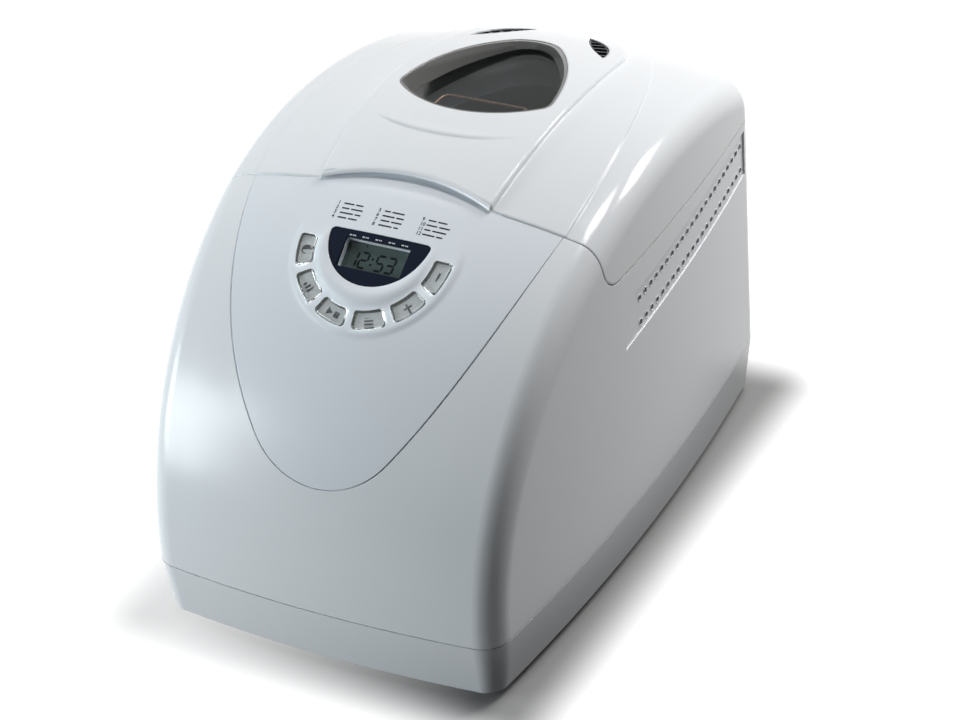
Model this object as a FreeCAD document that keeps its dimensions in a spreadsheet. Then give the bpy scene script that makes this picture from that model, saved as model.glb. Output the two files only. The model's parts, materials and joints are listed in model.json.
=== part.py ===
import FreeCAD, Part
import math
import os
import re
from types import SimpleNamespace

import Sketcher

V = FreeCAD.Vector
UP = V(0, 0, 1)
FAR = 400.0
os.makedirs("parts", exist_ok=True)
doc = FreeCAD.newDocument("bread_machine")

# Driving dimensions in millimetres and degrees
DIMENSIONS = {
    # outer body
    "body_width": 258.0, "body_depth": 385.0, "body_height": 274.0,
    "side_bow": 11.7, "shoulder_radius": 18.0, "front_crown": 8.7, "top_crown": 15.6,
    "apex_setback": 51.2, "back_arc_radius": 331.0, "back_shoulder_radius": 26.0,
    "wall": 2.6, "seam_gap": 0.6, "seat_gap": 0.2, "overrun": 10.0,
    # base
    "foot_height": 6.0, "foot_radius": 9.0, "foot_draft": 1.0, "foot_inset_x": 34.0, "foot_inset_y": 36.0,
    "base_seam_height": 42.0, "base_inset": 4.5, "base_lip_height": 6.0,
    "slot_width": 4.0, "slot_length": 40.0, "slot_pitch": 9.0, "slot_count": 4.0,
    "slot_x": 40.0, "slot_y": -80.0,
    # lid
    "lid_seam_height": 206.0, "lid_front": 46.0, "lid_corner_radius": 20.0, "crease_rise": 0.6,
    "crease_middle": 96.5, "crease_middle_y": 71.2, "crease_end": 50.0,
    "crease_end_inset": 8.0,
    "hood_rise": 3.5, "hood_half_width": 57.0, "hood_side_bulge": 5.0, "hood_rear": 183.0,
    "hood_side_end": 130.0, "lip_overhang": 5.5, "lip_hollow": 5.0, "lip_clearance": 1.0,
    "hood_edge_radius": 2.0,
    # hinge
    "hinge_radius": 9.0, "hinge_step": 0.3, "hinge_spread": 80.0, "lug_width": 10.0, "lug_radius": 5.0,
    "neck_relief": 0.5, "pin_radius": 2.5, "pin_length": 22.0, "rib_thickness": 3.0, "rib_gap": 0.8,
    "running_gap": 0.08,
    # window
    "window_corner_x": 41.0, "window_corner_y": 47.0, "window_corner_radius": 11.0,
    "window_rear_y": 108.0, "window_rear_radius": 25.0, "window_front_bulge": 70.0,
    "window_side_bulge": 140.0, "window_bevel": 5.0, "glass_height": 257.0, "glass_thickness": 3.0,
    "glass_margin": 2.0, "rim_sink": 0.3, "rim_lip": 0.8, "glass_clip_radius": 1.1,
    "glass_clip_half_width": 30.0, "glass_clip_front": 20.0, "glass_clip_rear": 60.0,
    "glass_clip_bend": 6.0, "glass_clip_top": 268.4,
    # steam vents
    "vent_tip_x": 47.0, "vent_tip_y": 126.0, "vent_end_x": 19.0, "vent_end_y": 164.0,
    "vent_outer_sag": 7.5, "vent_inner_sag": 3.5, "vent_slat": 1.6, "vent_depth": 6.0,
    "slat_count": 5.0, "grille_sink": 0.8, "grille_wall": 1.0,
    # front panel
    "panel_half_width": 104.5, "panel_top": 242.0, "panel_tip_height": 121.5, "panel_tip_radius": 58.0,
    "panel_tip_angle": 50.0, "panel_side_bulge": 4.5, "ledge_width": 5.0,
    "scoop_half_width": 57.0, "scoop_reach": 11.0, "scoop_depth": 5.0, "scoop_tilt": 22.0,
    # controls
    "control_tilt": 38.0, "control_front": 95.0, "button_ring_offset": 12.7, "button_ring_in": 39.5,
    "button_ring_out": 50.5, "button_half_angle": 12.5, "button_step": 31.5, "button_rise": 2.2,
    "button_depth": 5.0, "button_corner": 2.0, "button_gap": 0.4, "button_travel": 1.0, "button_flange": 1.2,
    "stem_radius": 2.4, "stem_gap": 0.4, "stem_sink": 1.0, "plunger_radius": 1.7, "plunger_height": 1.0,
    "display_radius": 33.5, "display_offset": 22.0, "display_corner": 3.0, "bezel_rise": 0.3,
    "bezel_flange": 2.0, "bezel_flange_thickness": 1.5, "lcd_width": 43.0, "lcd_height": 19.0,
    "lcd_frame": 2.0, "lcd_offset": 7.5, "lcd_sink": 6.0, "board_drop": 22.0, "board_width": 112.0,
    "board_height": 70.0, "board_thickness": 1.6, "board_offset": -4.0,
    "switch_size": 6.0, "switch_height": 5.0,
    # side vents
    "hole_radius": 2.0, "hole_pitch": 8.0, "hole_count": 22.0, "hole_start": 0.0,
    "hole_height_upper": 179.0, "hole_height_lower": 162.0, "hole_slope": 4.6, "recess_depth": 1.0,
    "recess_margin": 7.0, "recess_lean": 15.5,
    # baking chamber
    "chamber_y": 80.0, "chamber_width": 184.0, "chamber_depth": 172.0, "chamber_corner": 25.0,
    "chamber_floor": 56.0, "chamber_wall": 1.2, "chamber_flange": 7.0,
    "element_radius": 3.5, "element_height": 74.0, "element_half_x": 79.0, "element_half_y": 70.0,
    "element_corner": 30.0, "terminal_spread": 22.0, "terminal_bend": 10.0, "terminal_reach": 22.0,
    "bush_radius": 6.5, "bush_length": 8.0, "sensor_radius": 3.0, "sensor_length": 26.0, "sensor_tail": 10.0,
    "sensor_height": 110.0, "sensor_x": 62.0, "sensor_collar_radius": 6.0, "sensor_collar_length": 4.0,
    "shaft_clearance": 2.0,
    # bread pan
    "pan_width": 150.0, "pan_depth": 130.0, "pan_height": 118.0, "pan_draft": 5.0, "pan_corner": 22.0,
    "pan_wall": 1.6, "pan_floor": 70.0, "rest_gap": 0.3,
    "collar_radius": 31.0, "collar_wall": 2.5, "slide_gap": 0.5, "clip_thickness": 1.2, "clip_width": 14.0,
    "clip_height": 8.0, "clip_foot": 10.0, "ear_width": 16.0, "ear_thickness": 2.5, "ear_sink": 1.2,
    "ear_drop": 24.0, "ear_margin": 3.0, "bail_radius": 2.5, "bail_rise": 4.5, "bail_gap": 0.35,
    "bail_offset": 10.0, "bail_reach": 66.0, "bail_bend": 6.0, "bail_tail": 3.0,
    # drive
    "shaft_radius": 5.0, "pan_bush_radius": 8.0, "pan_bush_flange": 12.0, "pan_bush_height": 2.5,
    "pan_shaft_top": 100.0, "coupling_radius": 13.0, "coupling_plate": 3.0, "coupling_gap": 1.0,
    "dog_height": 6.0, "dog_width": 7.0, "dog_length": 5.0, "dog_inset": 0.5, "wing_inset": 1.0,
    "paddle_hub_radius": 10.0, "paddle_top_radius": 8.0, "paddle_hub_height": 29.0, "paddle_root": 7.5,
    "paddle_root_height": 23.0, "paddle_reach": 40.0, "paddle_thickness": 5.0, "paddle_tip_height": 14.0,
    "paddle_gap": 0.4, "flat_depth": 1.0, "pulley_radius": 45.0, "pulley_width": 12.0, "pulley_bottom": 22.0,
    "pulley_web": 4.0, "pulley_rim": 6.0, "pulley_flange": 3.0, "pulley_hub_radius": 12.0,
    "belt_width": 8.0, "belt_thickness": 2.2, "bearing_radius": 14.0,
    "bearing_flange": 24.0, "bearing_flange_thickness": 3.0, "bearing_length": 18.0, "shaft_bottom": 18.0,
    "motor_y": -95.0, "motor_radius": 30.0, "motor_height": 62.0, "motor_pulley_radius": 9.0,
    "motor_pulley_flange": 2.0, "motor_cap_radius": 12.0, "motor_cap_rise": 6.0, "motor_shaft_radius": 4.0,
    "motor_shaft_depth": 12.0, "bracket_hole_radius": 12.0, "bracket_height": 44.0, "bracket_thickness": 3.0,
    "bracket_half_x": 46.0, "bracket_half_y": 42.0, "bracket_leg_radius": 5.0, "bracket_leg_inset": 8.0,
    # electrics
    "capacitor_radius": 15.0, "capacitor_height": 45.0, "capacitor_x": 80.0, "capacitor_y": -110.0,
    "power_board_x": -72.0, "power_board_y": -110.0, "power_board_width": 52.0,
    "power_board_length": 84.0, "power_board_height": 24.0, "transformer_size": 34.0,
    "transformer_height": 27.0, "standoff_radius": 3.5, "standoff_inset": 6.0,
    "gland_radius": 7.0, "gland_flange": 10.0, "gland_flange_thickness": 2.5, "gland_bore": 3.6,
    "gland_x": -80.0, "gland_height": 75.0,
    # lid liner and fasteners
    "liner_thickness": 1.2, "liner_height": 209.0, "dome_height": 232.0, "dome_width": 182.0,
    "dome_depth": 164.0, "dome_corner": 4.0, "liner_half_width": 110.0, "liner_front": -30.0,
    "liner_rear": 170.0, "liner_corner": 24.0, "liner_window_inset": 2.0,
    "boss_radius": 5.0, "boss_inset": 11.0,
    "screw_head_radius": 3.6, "screw_head": 2.2, "screw_radius": 1.8, "screw_length": 9.0,
    "base_post_radius": 5.0, "base_post_x": 104.0, "base_post_front": 130.0, "base_post_rear": 130.0,
    "post_height": 22.0, "web_thickness": 3.0, "web_gap": 2.0,
}

sheet = doc.addObject("Spreadsheet::Sheet", "Dims")
for row, (alias, size) in enumerate(DIMENSIONS.items(), start=1):
    sheet.set("A%d" % row, alias)
    sheet.set("B%d" % row, str(size))
    sheet.setAlias("B%d" % row, alias)
doc.recompute()
d = SimpleNamespace(**{alias: float(sheet.get(alias)) for alias in DIMENSIONS})
ALIAS = re.compile(r"\b(%s)\b" % "|".join(DIMENSIONS))

FRONT = -d.body_depth / 2
BACK = d.body_depth / 2
HALF = d.body_width / 2
LID_Y = -d.lid_front
HINGE_Y = BACK - d.hinge_radius
HINGE_Z = d.lid_seam_height + d.hinge_radius
FLOOR_TOP = d.foot_height + d.wall


# Document helpers

def bind(item, prop, formula):
    """Ties a property to a formula in the sheet's aliases."""
    item.setExpression(prop, ALIAS.sub(r"Dims.\1", str(formula)))


def place(item, x="0", y="0", z="0"):
    for axis, formula in zip("xyz", (x, y, z)):
        bind(item, "Placement.Base." + axis, formula)
    return item


def cylinder(label, radius, height, x="0", y="0", z="0"):
    item = doc.addObject("Part::Cylinder", label)
    bind(item, "Radius", radius)
    bind(item, "Height", height)
    return place(item, x, y, z)


def box(label, length, width, height, x="0", y="0", z="0"):
    """A box centred on x and y that stands on z."""
    item = doc.addObject("Part::Box", label)
    for prop, formula in zip(("Length", "Width", "Height"), (length, width, height)):
        bind(item, prop, formula)
    return place(item, "%s - (%s) / 2" % (x, length), "%s - (%s) / 2" % (y, width), z)


def cut(label, base, tool):
    item = doc.addObject("Part::Cut", label)
    item.Base = base
    item.Tool = tool
    return item


def fuse(label, *items):
    item = doc.addObject("Part::MultiFuse", label)
    item.Shapes = list(items)
    return item


def group(label, items):
    """Separate solids that share one node."""
    item = doc.addObject("Part::Compound", label)
    item.Links = list(items)
    return item


def formed(label, shape):
    """A piece whose curved form needs the shape functions."""
    item = doc.addObject("Part::Feature", label)
    item.Shape = shape
    return item


def origin_plane(body, role):
    return next(f for f in body.Origin.OriginFeatures if f.Role == role)


def new_sketch(body, role, offset="0"):
    sketch = body.newObject("Sketcher::SketchObject", body.Name + "_sketch")
    sketch.AttachmentSupport = (origin_plane(body, role), [""])
    sketch.MapMode = "FlatFace"
    bind(sketch, "AttachmentOffset.Base.z", offset)
    return sketch


def measure(sketch, kind, element, formula):
    """Adds one sketch dimension that follows a formula."""
    value = formula_value(formula)
    index = sketch.addConstraint(Sketcher.Constraint(kind, *element, value))
    bind(sketch, "Constraints[%d]" % index, formula)


def formula_value(formula):
    """The present value of a formula, worked out by a spare sheet cell."""
    sheet.set("D1", "=" + str(formula))
    sheet.recompute()
    value = float(sheet.get("D1"))
    sheet.clear("D1")
    return value


def pin_point(sketch, index, corner, x, y):
    """Fixes a point of a sketch at two formulas."""
    for kind, axis, formula in (("DistanceX", -2, x), ("DistanceY", -1, y)):
        if abs(formula_value(formula)) < 1e-9:
            sketch.addConstraint(Sketcher.Constraint("PointOnObject", index, corner, axis))
        else:
            measure(sketch, kind, (-1, 1, index, corner), formula)


def polygon(sketch, points):
    """A closed outline with every corner tied to formulas."""
    here = [V(formula_value(x), formula_value(y), 0) for x, y in points]
    count = len(points)
    for i in range(count):
        sketch.addGeometry(Part.LineSegment(here[i], here[(i + 1) % count]), False)
    for i in range(count):
        sketch.addConstraint(Sketcher.Constraint("Coincident", i, 2, (i + 1) % count, 1))
    for i, (x, y) in enumerate(points):
        pin_point(sketch, i, 1, x, y)


def rounded_rectangle(sketch, length, width, radius):
    """A centred rectangle with round corners."""
    lx, ly, r = (formula_value(f) for f in (length, width, radius))
    px, py = lx / 2 - r, ly / 2 - r
    quarter = math.pi / 2
    for i, (sx, sy) in enumerate(((1, 1), (-1, 1), (-1, -1), (1, -1))):
        circle = Part.Circle(V(sx * px, sy * py, 0), UP, r)
        sketch.addGeometry(Part.ArcOfCircle(circle, i * quarter, (i + 1) * quarter), False)
    ends = ((px, ly / 2, -px, ly / 2), (-lx / 2, py, -lx / 2, -py),
            (-px, -ly / 2, px, -ly / 2), (lx / 2, -py, lx / 2, py))
    for x1, y1, x2, y2 in ends:
        sketch.addGeometry(Part.LineSegment(V(x1, y1, 0), V(x2, y2, 0)), False)
    for i in range(4):
        sketch.addConstraint(Sketcher.Constraint("Tangent", i, 2, 4 + i, 1))
        sketch.addConstraint(Sketcher.Constraint("Tangent", 4 + i, 2, (i + 1) % 4, 1))
    for i, (sx, sy) in enumerate((("1", "1"), ("-1", "1"), ("-1", "-1"), ("1", "-1"))):
        pin_point(sketch, i, 3, "%s * ((%s) / 2 - (%s))" % (sx, length, radius),
                  "%s * ((%s) / 2 - (%s))" % (sy, width, radius))
    measure(sketch, "Radius", (0,), radius)
    for i in range(1, 4):
        sketch.addConstraint(Sketcher.Constraint("Equal", 0, i))


def turned(label, points, x="0", y="0", z="0"):
    """A body revolved about the upright axis from a radius and height outline."""
    body = doc.addObject("PartDesign::Body", label)
    sketch = new_sketch(body, "XZ_Plane")
    polygon(sketch, points)
    doc.recompute()
    spin = body.newObject("PartDesign::Revolution", label + "_turn")
    spin.Profile = sketch
    spin.ReferenceAxis = (sketch, ["V_Axis"])
    spin.Angle = 360.0
    return place(body, x, y, z)


def tube(label, inner, outer, low, high, x="0", y="0"):
    return turned(label, ((inner, low), (outer, low), (outer, high), (inner, high)), x, y)


def rounded_block(label, length, width, radius, height, x="0", y="0", z="0"):
    body = doc.addObject("PartDesign::Body", label)
    sketch = new_sketch(body, "XY_Plane")
    rounded_rectangle(sketch, length, width, radius)
    doc.recompute()
    pad = body.newObject("PartDesign::Pad", label + "_pad")
    pad.Profile = sketch
    bind(pad, "Length", height)
    return place(body, x, y, z)


# Outline helpers for the formed pieces

def wire_of(*runs):
    """Joins runs of two points as lines and of three points as arcs."""
    edges = [Part.makeLine(*run) if len(run) == 2 else Part.Arc(*run).toShape() for run in runs]
    return Part.Wire(Part.__sortEdges__(edges))


def face_of(*runs):
    return Part.Face(wire_of(*runs))


def grown(face, amount):
    return face.makeOffset2D(amount) if abs(amount) > 1e-9 else face


def slab(z_low, z_high):
    return Part.makeBox(2 * FAR, 2 * FAR, z_high - z_low, V(-FAR, -FAR, z_low))


def upright(face, z_low=0.0, z_high=FAR):
    """Raises a plan outline into a prism."""
    copy = face.copy()
    copy.translate(V(0, 0, z_low - face.CenterOfMass.z))
    return copy.extrude(V(0, 0, z_high - z_low))


def tidied(shape):
    """Merges the faces that a fuse has split."""
    return shape.removeSplitter()


def rod(radius, start, end):
    return Part.makeCylinder(radius, (end - start).Length, start, end - start)


ENVELOPES = {}


def profile_wire(x, inset):
    """The side outline of the body at one distance across it."""
    k = x / HALF
    low = -d.overrun
    yf = FRONT + inset + d.front_crown * k * k
    yb = BACK - inset
    top = d.body_height - d.hood_rise - inset - d.top_crown * k * k
    centre = V(x, d.apex_setback, d.base_seam_height)
    apex, start = V(x, d.apex_setback, top), V(x, yf, d.base_seam_height)
    long_first = top - centre.z > centre.y - yf
    oval = Part.Ellipse(apex, start, centre) if long_first else Part.Ellipse(start, apex, centre)
    first, last = sorted((oval.parameter(start), oval.parameter(apex)))
    if last - first > math.pi:
        first, last = last - 2 * math.pi, first
    brow = Part.ArcOfEllipse(oval, first, last).toShape()
    big, small = d.back_arc_radius - inset, d.back_shoulder_radius - inset
    reach = yb - small - d.apex_setback
    rise = math.sqrt((big - small) ** 2 - reach ** 2)
    turn = math.atan2(rise, reach)

    def on_big(angle):
        return V(x, d.apex_setback + big * math.cos(angle), top - big + big * math.sin(angle))

    def on_small(angle):
        return V(x, yb - small + small * math.cos(angle), top - big + rise + small * math.sin(angle))

    back_low, front_low = V(x, yb, low), V(x, yf, low)
    edges = [brow,
             Part.Arc(apex, on_big((turn + math.pi / 2) / 2), on_big(turn)).toShape(),
             Part.Arc(on_big(turn), on_small(turn / 2), on_small(0)).toShape(),
             Part.makeLine(on_small(0), back_low),
             Part.makeLine(back_low, front_low),
             Part.makeLine(front_low, start)]
    return Part.Wire(Part.__sortEdges__(edges))


def envelope(inset=0.0):
    """The whole outer form, drawn in by an inset."""
    key = round(inset, 4)
    if key not in ENVELOPES:
        stations = [share * HALF for share in (-1.08, -0.54, 0.0, 0.54, 1.08)]
        crowned = Part.makeLoft([profile_wire(x, inset) for x in stations], True, False)
        side = HALF - inset
        bow_radius = (BACK ** 2 + d.side_bow ** 2) / (2 * d.side_bow)
        reach = BACK + d.overrun
        end = side - bow_radius + math.sqrt(bow_radius ** 2 - reach ** 2)
        runs = []
        for s in (1, -1):
            runs += [(V(s * end, -s * reach, 0), V(s * side, 0, 0), V(s * end, s * reach, 0)),
                     (V(s * end, s * reach, 0), V(-s * end, s * reach, 0))]
        plan = face_of(*runs)
        body = crowned.common(upright(plan, -FAR, FAR)).Solids[0]
        corners = [e for e in body.Edges if abs(e.CenterOfMass.x) > side * 0.7 and e.BoundBox.ZMax > 0]
        ENVELOPES[key] = body.makeFillet(d.shoulder_radius - inset, corners)
    return ENVELOPES[key].copy()


def shell(outer, inner):
    return envelope(outer).cut(envelope(inner))


def lid_region(front, floor, radius, rear=0.0):
    """Everything behind and above the lid's parting line, with a round lower back edge if asked."""
    bend = 1 - math.sqrt(0.5)
    front_low, floor_start = V(0, front, floor + radius), V(0, front + radius, floor)
    runs = [(V(0, front, FAR), front_low),
            (front_low, V(0, front + radius * bend, floor + radius * bend), floor_start)]
    if rear:
        low, side = V(0, HINGE_Y, HINGE_Z - rear), V(0, HINGE_Y + rear, HINGE_Z)
        reach = rear * math.sqrt(0.5)
        runs += [(floor_start, V(0, HINGE_Y, floor)), (V(0, HINGE_Y, floor), low),
                 (low, V(0, HINGE_Y + reach, HINGE_Z - reach), side), (side, V(0, FAR, HINGE_Z)),
                 (V(0, FAR, HINGE_Z), V(0, FAR, FAR))]
    else:
        runs += [(floor_start, V(0, FAR, floor)), (V(0, FAR, floor), V(0, FAR, FAR))]
    face = face_of(*runs, (V(0, FAR, FAR), V(0, front, FAR)))
    face.translate(V(-FAR, 0, 0))
    return face.extrude(V(2 * FAR, 0, 0))


def three_lobe_face(grow=0.0):
    """The window outline: three round corners joined by bulged sides."""
    corners = [(V(-d.window_corner_x, d.window_corner_y, 0), d.window_corner_radius),
               (V(d.window_corner_x, d.window_corner_y, 0), d.window_corner_radius),
               (V(0, d.window_rear_y, 0), d.window_rear_radius)]
    bulges = [d.window_front_bulge, d.window_side_bulge, d.window_side_bulge]
    joins = []
    for i, bulge in enumerate(bulges):
        (c1, r1), (c2, r2) = corners[i], corners[(i + 1) % 3]
        span = (c2 - c1).Length
        along = (c2 - c1) / span
        a = ((bulge - r1) ** 2 - (bulge - r2) ** 2 + span ** 2) / (2 * span)
        inward = V(-along.y, along.x, 0)
        middle = c1 + along * a + inward * math.sqrt((bulge - r1) ** 2 - a * a)
        size = bulge + grow
        first, last = ((c - middle).normalize() for c in (c1, c2))
        halfway = (first + last).normalize()
        joins.append((middle + first * size, middle + halfway * size, middle + last * size))
    runs = []
    for i in range(3):
        centre, radius = corners[i]
        before, after = joins[i - 1][2], joins[i][0]
        outward = ((before - centre).normalize() + (after - centre).normalize()).normalize()
        runs += [(before, centre + outward * (radius + grow), after), joins[i]]
    return face_of(*runs)


def panel_face(grow=0.0):
    """The shield outline of the front panel, seen from the front."""
    turn = math.radians(d.panel_tip_angle)
    centre = V(0, 0, d.panel_tip_height + d.panel_tip_radius)
    join = centre + V(math.sin(turn), 0, -math.cos(turn)) * d.panel_tip_radius
    top = V(d.panel_half_width, 0, d.panel_top)
    chord = (top - join).normalize()
    middle = (top + join) / 2 + V(chord.z, 0, -chord.x) * d.panel_side_bulge

    def mirror(p):
        return V(-p.x, 0, p.z)

    high = V(d.panel_half_width, 0, FAR)
    face = face_of((mirror(high), mirror(top)), (mirror(top), mirror(middle), mirror(join)),
                   (mirror(join), V(0, 0, d.panel_tip_height), join), (join, middle, top),
                   (top, high), (high, mirror(high)))
    return grown(face, grow)


def panel_prism(grow=0.0):
    face = panel_face(grow)
    face.translate(V(0, -FAR - face.CenterOfMass.y, 0))
    return face.extrude(V(0, FAR - d.lid_front - d.seam_gap, 0))


def hood_face(grow=0.0):
    """The plan outline of the raised hood, with its hollow front lip."""
    lip = LID_Y - d.lip_overhang
    w = d.hood_half_width
    mid_y = (lip + d.hood_side_end) / 2
    face = face_of((V(-w, lip, 0), V(0, lip + d.lip_hollow, 0), V(w, lip, 0)),
                   (V(w, lip, 0), V(w + d.hood_side_bulge, mid_y, 0), V(w, d.hood_side_end, 0)),
                   (V(w, d.hood_side_end, 0), V(0, d.hood_rear, 0), V(-w, d.hood_side_end, 0)),
                   (V(-w, d.hood_side_end, 0), V(-w - d.hood_side_bulge, mid_y, 0), V(-w, lip, 0)))
    return grown(face, grow)


def crease_face():
    """The plan outline inside the lid's two long crease lines."""
    w, end = d.panel_half_width, d.crease_end
    fore, bend, aft = LID_Y - d.overrun, BACK - d.crease_end_inset, BACK + d.overrun
    runs = [(V(-w, fore, 0), V(w, fore, 0)), (V(-end, aft, 0), V(end, aft, 0))]
    for s in (1, -1):
        runs += [(V(s * w, fore, 0), V(s * d.crease_middle, d.crease_middle_y, 0), V(s * end, bend, 0)),
                 (V(s * end, bend, 0), V(s * end, aft, 0))]
    return face_of(*runs)


def vent_face(side, grow=0.0):
    """One crescent steam vent beside the back of the window."""
    tip, end = V(side * d.vent_tip_x, d.vent_tip_y, 0), V(side * d.vent_end_x, d.vent_end_y, 0)
    chord = (end - tip).normalize()
    outward = V(chord.y, -chord.x, 0) * side
    mid = (tip + end) / 2
    inner = mid - outward * d.vent_inner_sag
    outer = mid + outward * d.vent_outer_sag
    return grown(face_of((tip, outer, end), (end, inner, tip)), grow)


# The tilted frame of the controls
CONTROL_Z = d.base_seam_height + (d.body_height - d.hood_rise - d.base_seam_height) * math.sqrt(
    1 - ((d.apex_setback + d.control_front) / (d.apex_setback - FRONT)) ** 2)
CONTROL_TURN = FreeCAD.Rotation(V(1, 0, 0), d.control_tilt)
CONTROL = FreeCAD.Placement(V(0, -d.control_front, CONTROL_Z), CONTROL_TURN)
BUTTON_ANGLES = [-90 + d.button_step * (i - 2.5) for i in range(6)]


def upright_edges(solid):
    return [e for e in solid.Edges if len(e.Vertexes) == 2 and abs(e.tangentAt(e.FirstParameter).z) > 0.99]


def control_prism(face, corner):
    """Runs an outline through the panel in the controls' frame and rounds its corners."""
    copy = face.copy()
    copy.translate(V(0, 0, -2 * d.board_drop))
    solid = copy.extrude(V(0, 0, 4 * d.board_drop))
    solid = solid.makeFillet(corner, upright_edges(solid))
    solid.Placement = CONTROL.multiply(solid.Placement)
    return solid


def button_centre(angle):
    r = (d.button_ring_in + d.button_ring_out) / 2
    turn = math.radians(angle)
    return V(r * math.cos(turn), d.button_ring_offset + r * math.sin(turn), 0)


def button_prism(angle, grow=0.0):
    """One sector of the button ring."""
    centre = V(0, d.button_ring_offset, 0)
    ri, ro = d.button_ring_in - grow, d.button_ring_out + grow
    half = d.button_half_angle + math.degrees(2 * grow / (ri + ro))

    def at(radius, share):
        turn = math.radians(angle + share * half)
        return centre + V(math.cos(turn), math.sin(turn), 0) * radius

    face = face_of((at(ro, -1), at(ro, 0), at(ro, 1)), (at(ro, 1), at(ri, 1)),
                   (at(ri, 1), at(ri, 0), at(ri, -1)), (at(ri, -1), at(ro, -1)))
    return control_prism(face, d.button_corner + grow)


def display_prism(grow=0.0):
    """The half-round display outline."""
    c, r = d.display_offset + grow, d.display_radius + grow
    side = math.sqrt(r ** 2 - grow ** 2)
    left, right, tip = V(-side, c, 0), V(side, c, 0), V(0, d.display_offset - r, 0)
    face = face_of((left, tip, right), (right, left))
    return control_prism(face, d.display_corner + grow)


def control_box(width, height, depth, x, y, top):
    item = Part.makeBox(width, height, depth, V(x - width / 2, y - height / 2, top - depth))
    item.Placement = CONTROL.multiply(item.Placement)
    return item


def control_rod(radius, x, y, low, high):
    item = Part.makeCylinder(radius, high - low, V(x, y, low))
    item.Placement = CONTROL.multiply(item.Placement)
    return item


def board_corners():
    inset = d.standoff_inset
    return [V(sx * (d.board_width / 2 - inset), d.board_offset + sy * (d.board_height / 2 - inset), 0)
            for sx in (-1, 1) for sy in (-1, 1)]


# Base

def base_wire(inset, z):
    wire = envelope(inset).slice(UP, d.foot_height)[0]
    wire.translate(V(0, 0, z - d.foot_height))
    return wire


def post_spots():
    return [V(sx * d.base_post_x, y, 0) for sx in (-1, 1) for y in (-d.base_post_front, d.base_post_rear)]


def make_base_tray():
    top = d.base_seam_height - d.seam_gap
    outer = Part.makeLoft([base_wire(d.base_inset, d.foot_height), base_wire(0, top)], True, True)
    inner_wires = [base_wire(d.base_inset + d.wall, FLOOR_TOP), base_wire(d.wall, d.base_seam_height)]
    inner = Part.makeLoft(inner_wires, True, True)
    lip = shell(d.wall + d.seat_gap, 2 * d.wall).common(slab(top - d.wall, top + d.base_lip_height))
    tray = outer.cut(inner).fuse(lip)
    for spot in post_spots():
        foot = spot + V(0, 0, d.foot_height)
        tray = tray.fuse(Part.makeCylinder(d.base_post_radius, top - d.foot_height, foot))
        tray = tray.cut(Part.makeCylinder(d.screw_head_radius + d.rest_gap, d.screw_head, foot))
        tray = tray.cut(Part.makeCylinder(d.screw_radius, d.screw_length, foot))
    for sx in (-1, 1):
        for sy in (-1, 1):
            spot = V(d.power_board_x + sx * (d.power_board_width / 2 - d.standoff_inset),
                     d.power_board_y + sy * (d.power_board_length / 2 - d.standoff_inset), d.foot_height)
            tray = tray.fuse(Part.makeCylinder(d.standoff_radius, d.power_board_height - d.foot_height, spot))
    low = d.foot_height - d.wall
    slots = []
    for i in range(int(d.slot_count)):
        corner = V(d.slot_x + d.slot_pitch * i, d.slot_y, low)
        slots.append(Part.makeBox(d.slot_width, d.slot_length, 3 * d.wall, corner))
    return tray.cut(Part.makeCompound(slots))


def make_feet():
    feet = []
    for i, (sx, sy) in enumerate(((1, 1), (-1, 1), (-1, -1), (1, -1))):
        foot = doc.addObject("Part::Cone", "foot_%d" % i)
        bind(foot, "Radius1", "foot_radius - foot_draft")
        bind(foot, "Radius2", "foot_radius")
        bind(foot, "Height", "foot_height")
        feet.append(place(foot, "%d * (body_width / 2 - foot_inset_x)" % sx,
                          "%d * (body_depth / 2 - foot_inset_y)" % sy))
    group("feet", feet)


def screw_solid(spot, direction):
    """One screw whose head starts at the spot and whose shank follows the direction."""
    head = rod(d.screw_head_radius, spot, spot + direction * d.screw_head)
    shank = rod(d.screw_radius, spot, spot + direction * d.screw_length)
    return tidied(head.fuse(shank))


# Housing

def hole_spots():
    """Rows of vent holes as distances along and up the side."""
    rise = math.tan(math.radians(d.hole_slope))
    for height in (d.hole_height_upper, d.hole_height_lower):
        for i in range(int(d.hole_count)):
            y = d.hole_start + i * d.hole_pitch
            yield y, height + rise * (y - d.hole_start)


def side_recess():
    rise = math.tan(math.radians(d.hole_slope))
    m = d.recess_margin
    y1, y2 = d.hole_start - m, d.hole_start + (d.hole_count - 1) * d.hole_pitch + m
    low, high = d.hole_height_lower - m, d.hole_height_upper + m
    corners = [V(0, y1 - d.recess_lean, low), V(0, y2, low + rise * (y2 - y1)),
               V(0, y2, high + rise * (y2 - y1)), V(0, y1, high)]
    face = face_of(*[(corners[i], corners[(i + 1) % 4]) for i in range(4)])
    face.translate(V(-FAR, 0, 0))
    return face.extrude(V(2 * FAR, 0, 0)).cut(envelope(d.recess_depth))


def scoop(grow=0.0):
    """The hollow for fingertips under the lid's lip."""
    rise = d.body_height - d.hood_rise - d.base_seam_height
    z = d.base_seam_height + rise * math.sqrt(1 - ((d.apex_setback - LID_Y) / (d.apex_setback - FRONT)) ** 2)
    ball = Part.makeSphere(1.0)
    size = FreeCAD.Matrix()
    size.scale(d.scoop_half_width + grow, d.scoop_reach + grow, d.scoop_depth + grow)
    oval = ball.transformGeometry(size)
    oval.Placement = FreeCAD.Placement(V(0, LID_Y, z), FreeCAD.Rotation(V(1, 0, 0), d.scoop_tilt))
    return oval


def chamber_prism(grow, low, high):
    w, dep, r = d.chamber_width / 2 + grow, d.chamber_depth / 2 + grow, d.chamber_corner + grow
    block = Part.makeBox(2 * w, 2 * dep, high - low, V(-w, d.chamber_y - dep, low))
    return block.makeFillet(r, upright_edges(block))


def hinge_ends():
    return [s * d.hinge_spread for s in (-1, 1)]


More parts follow.
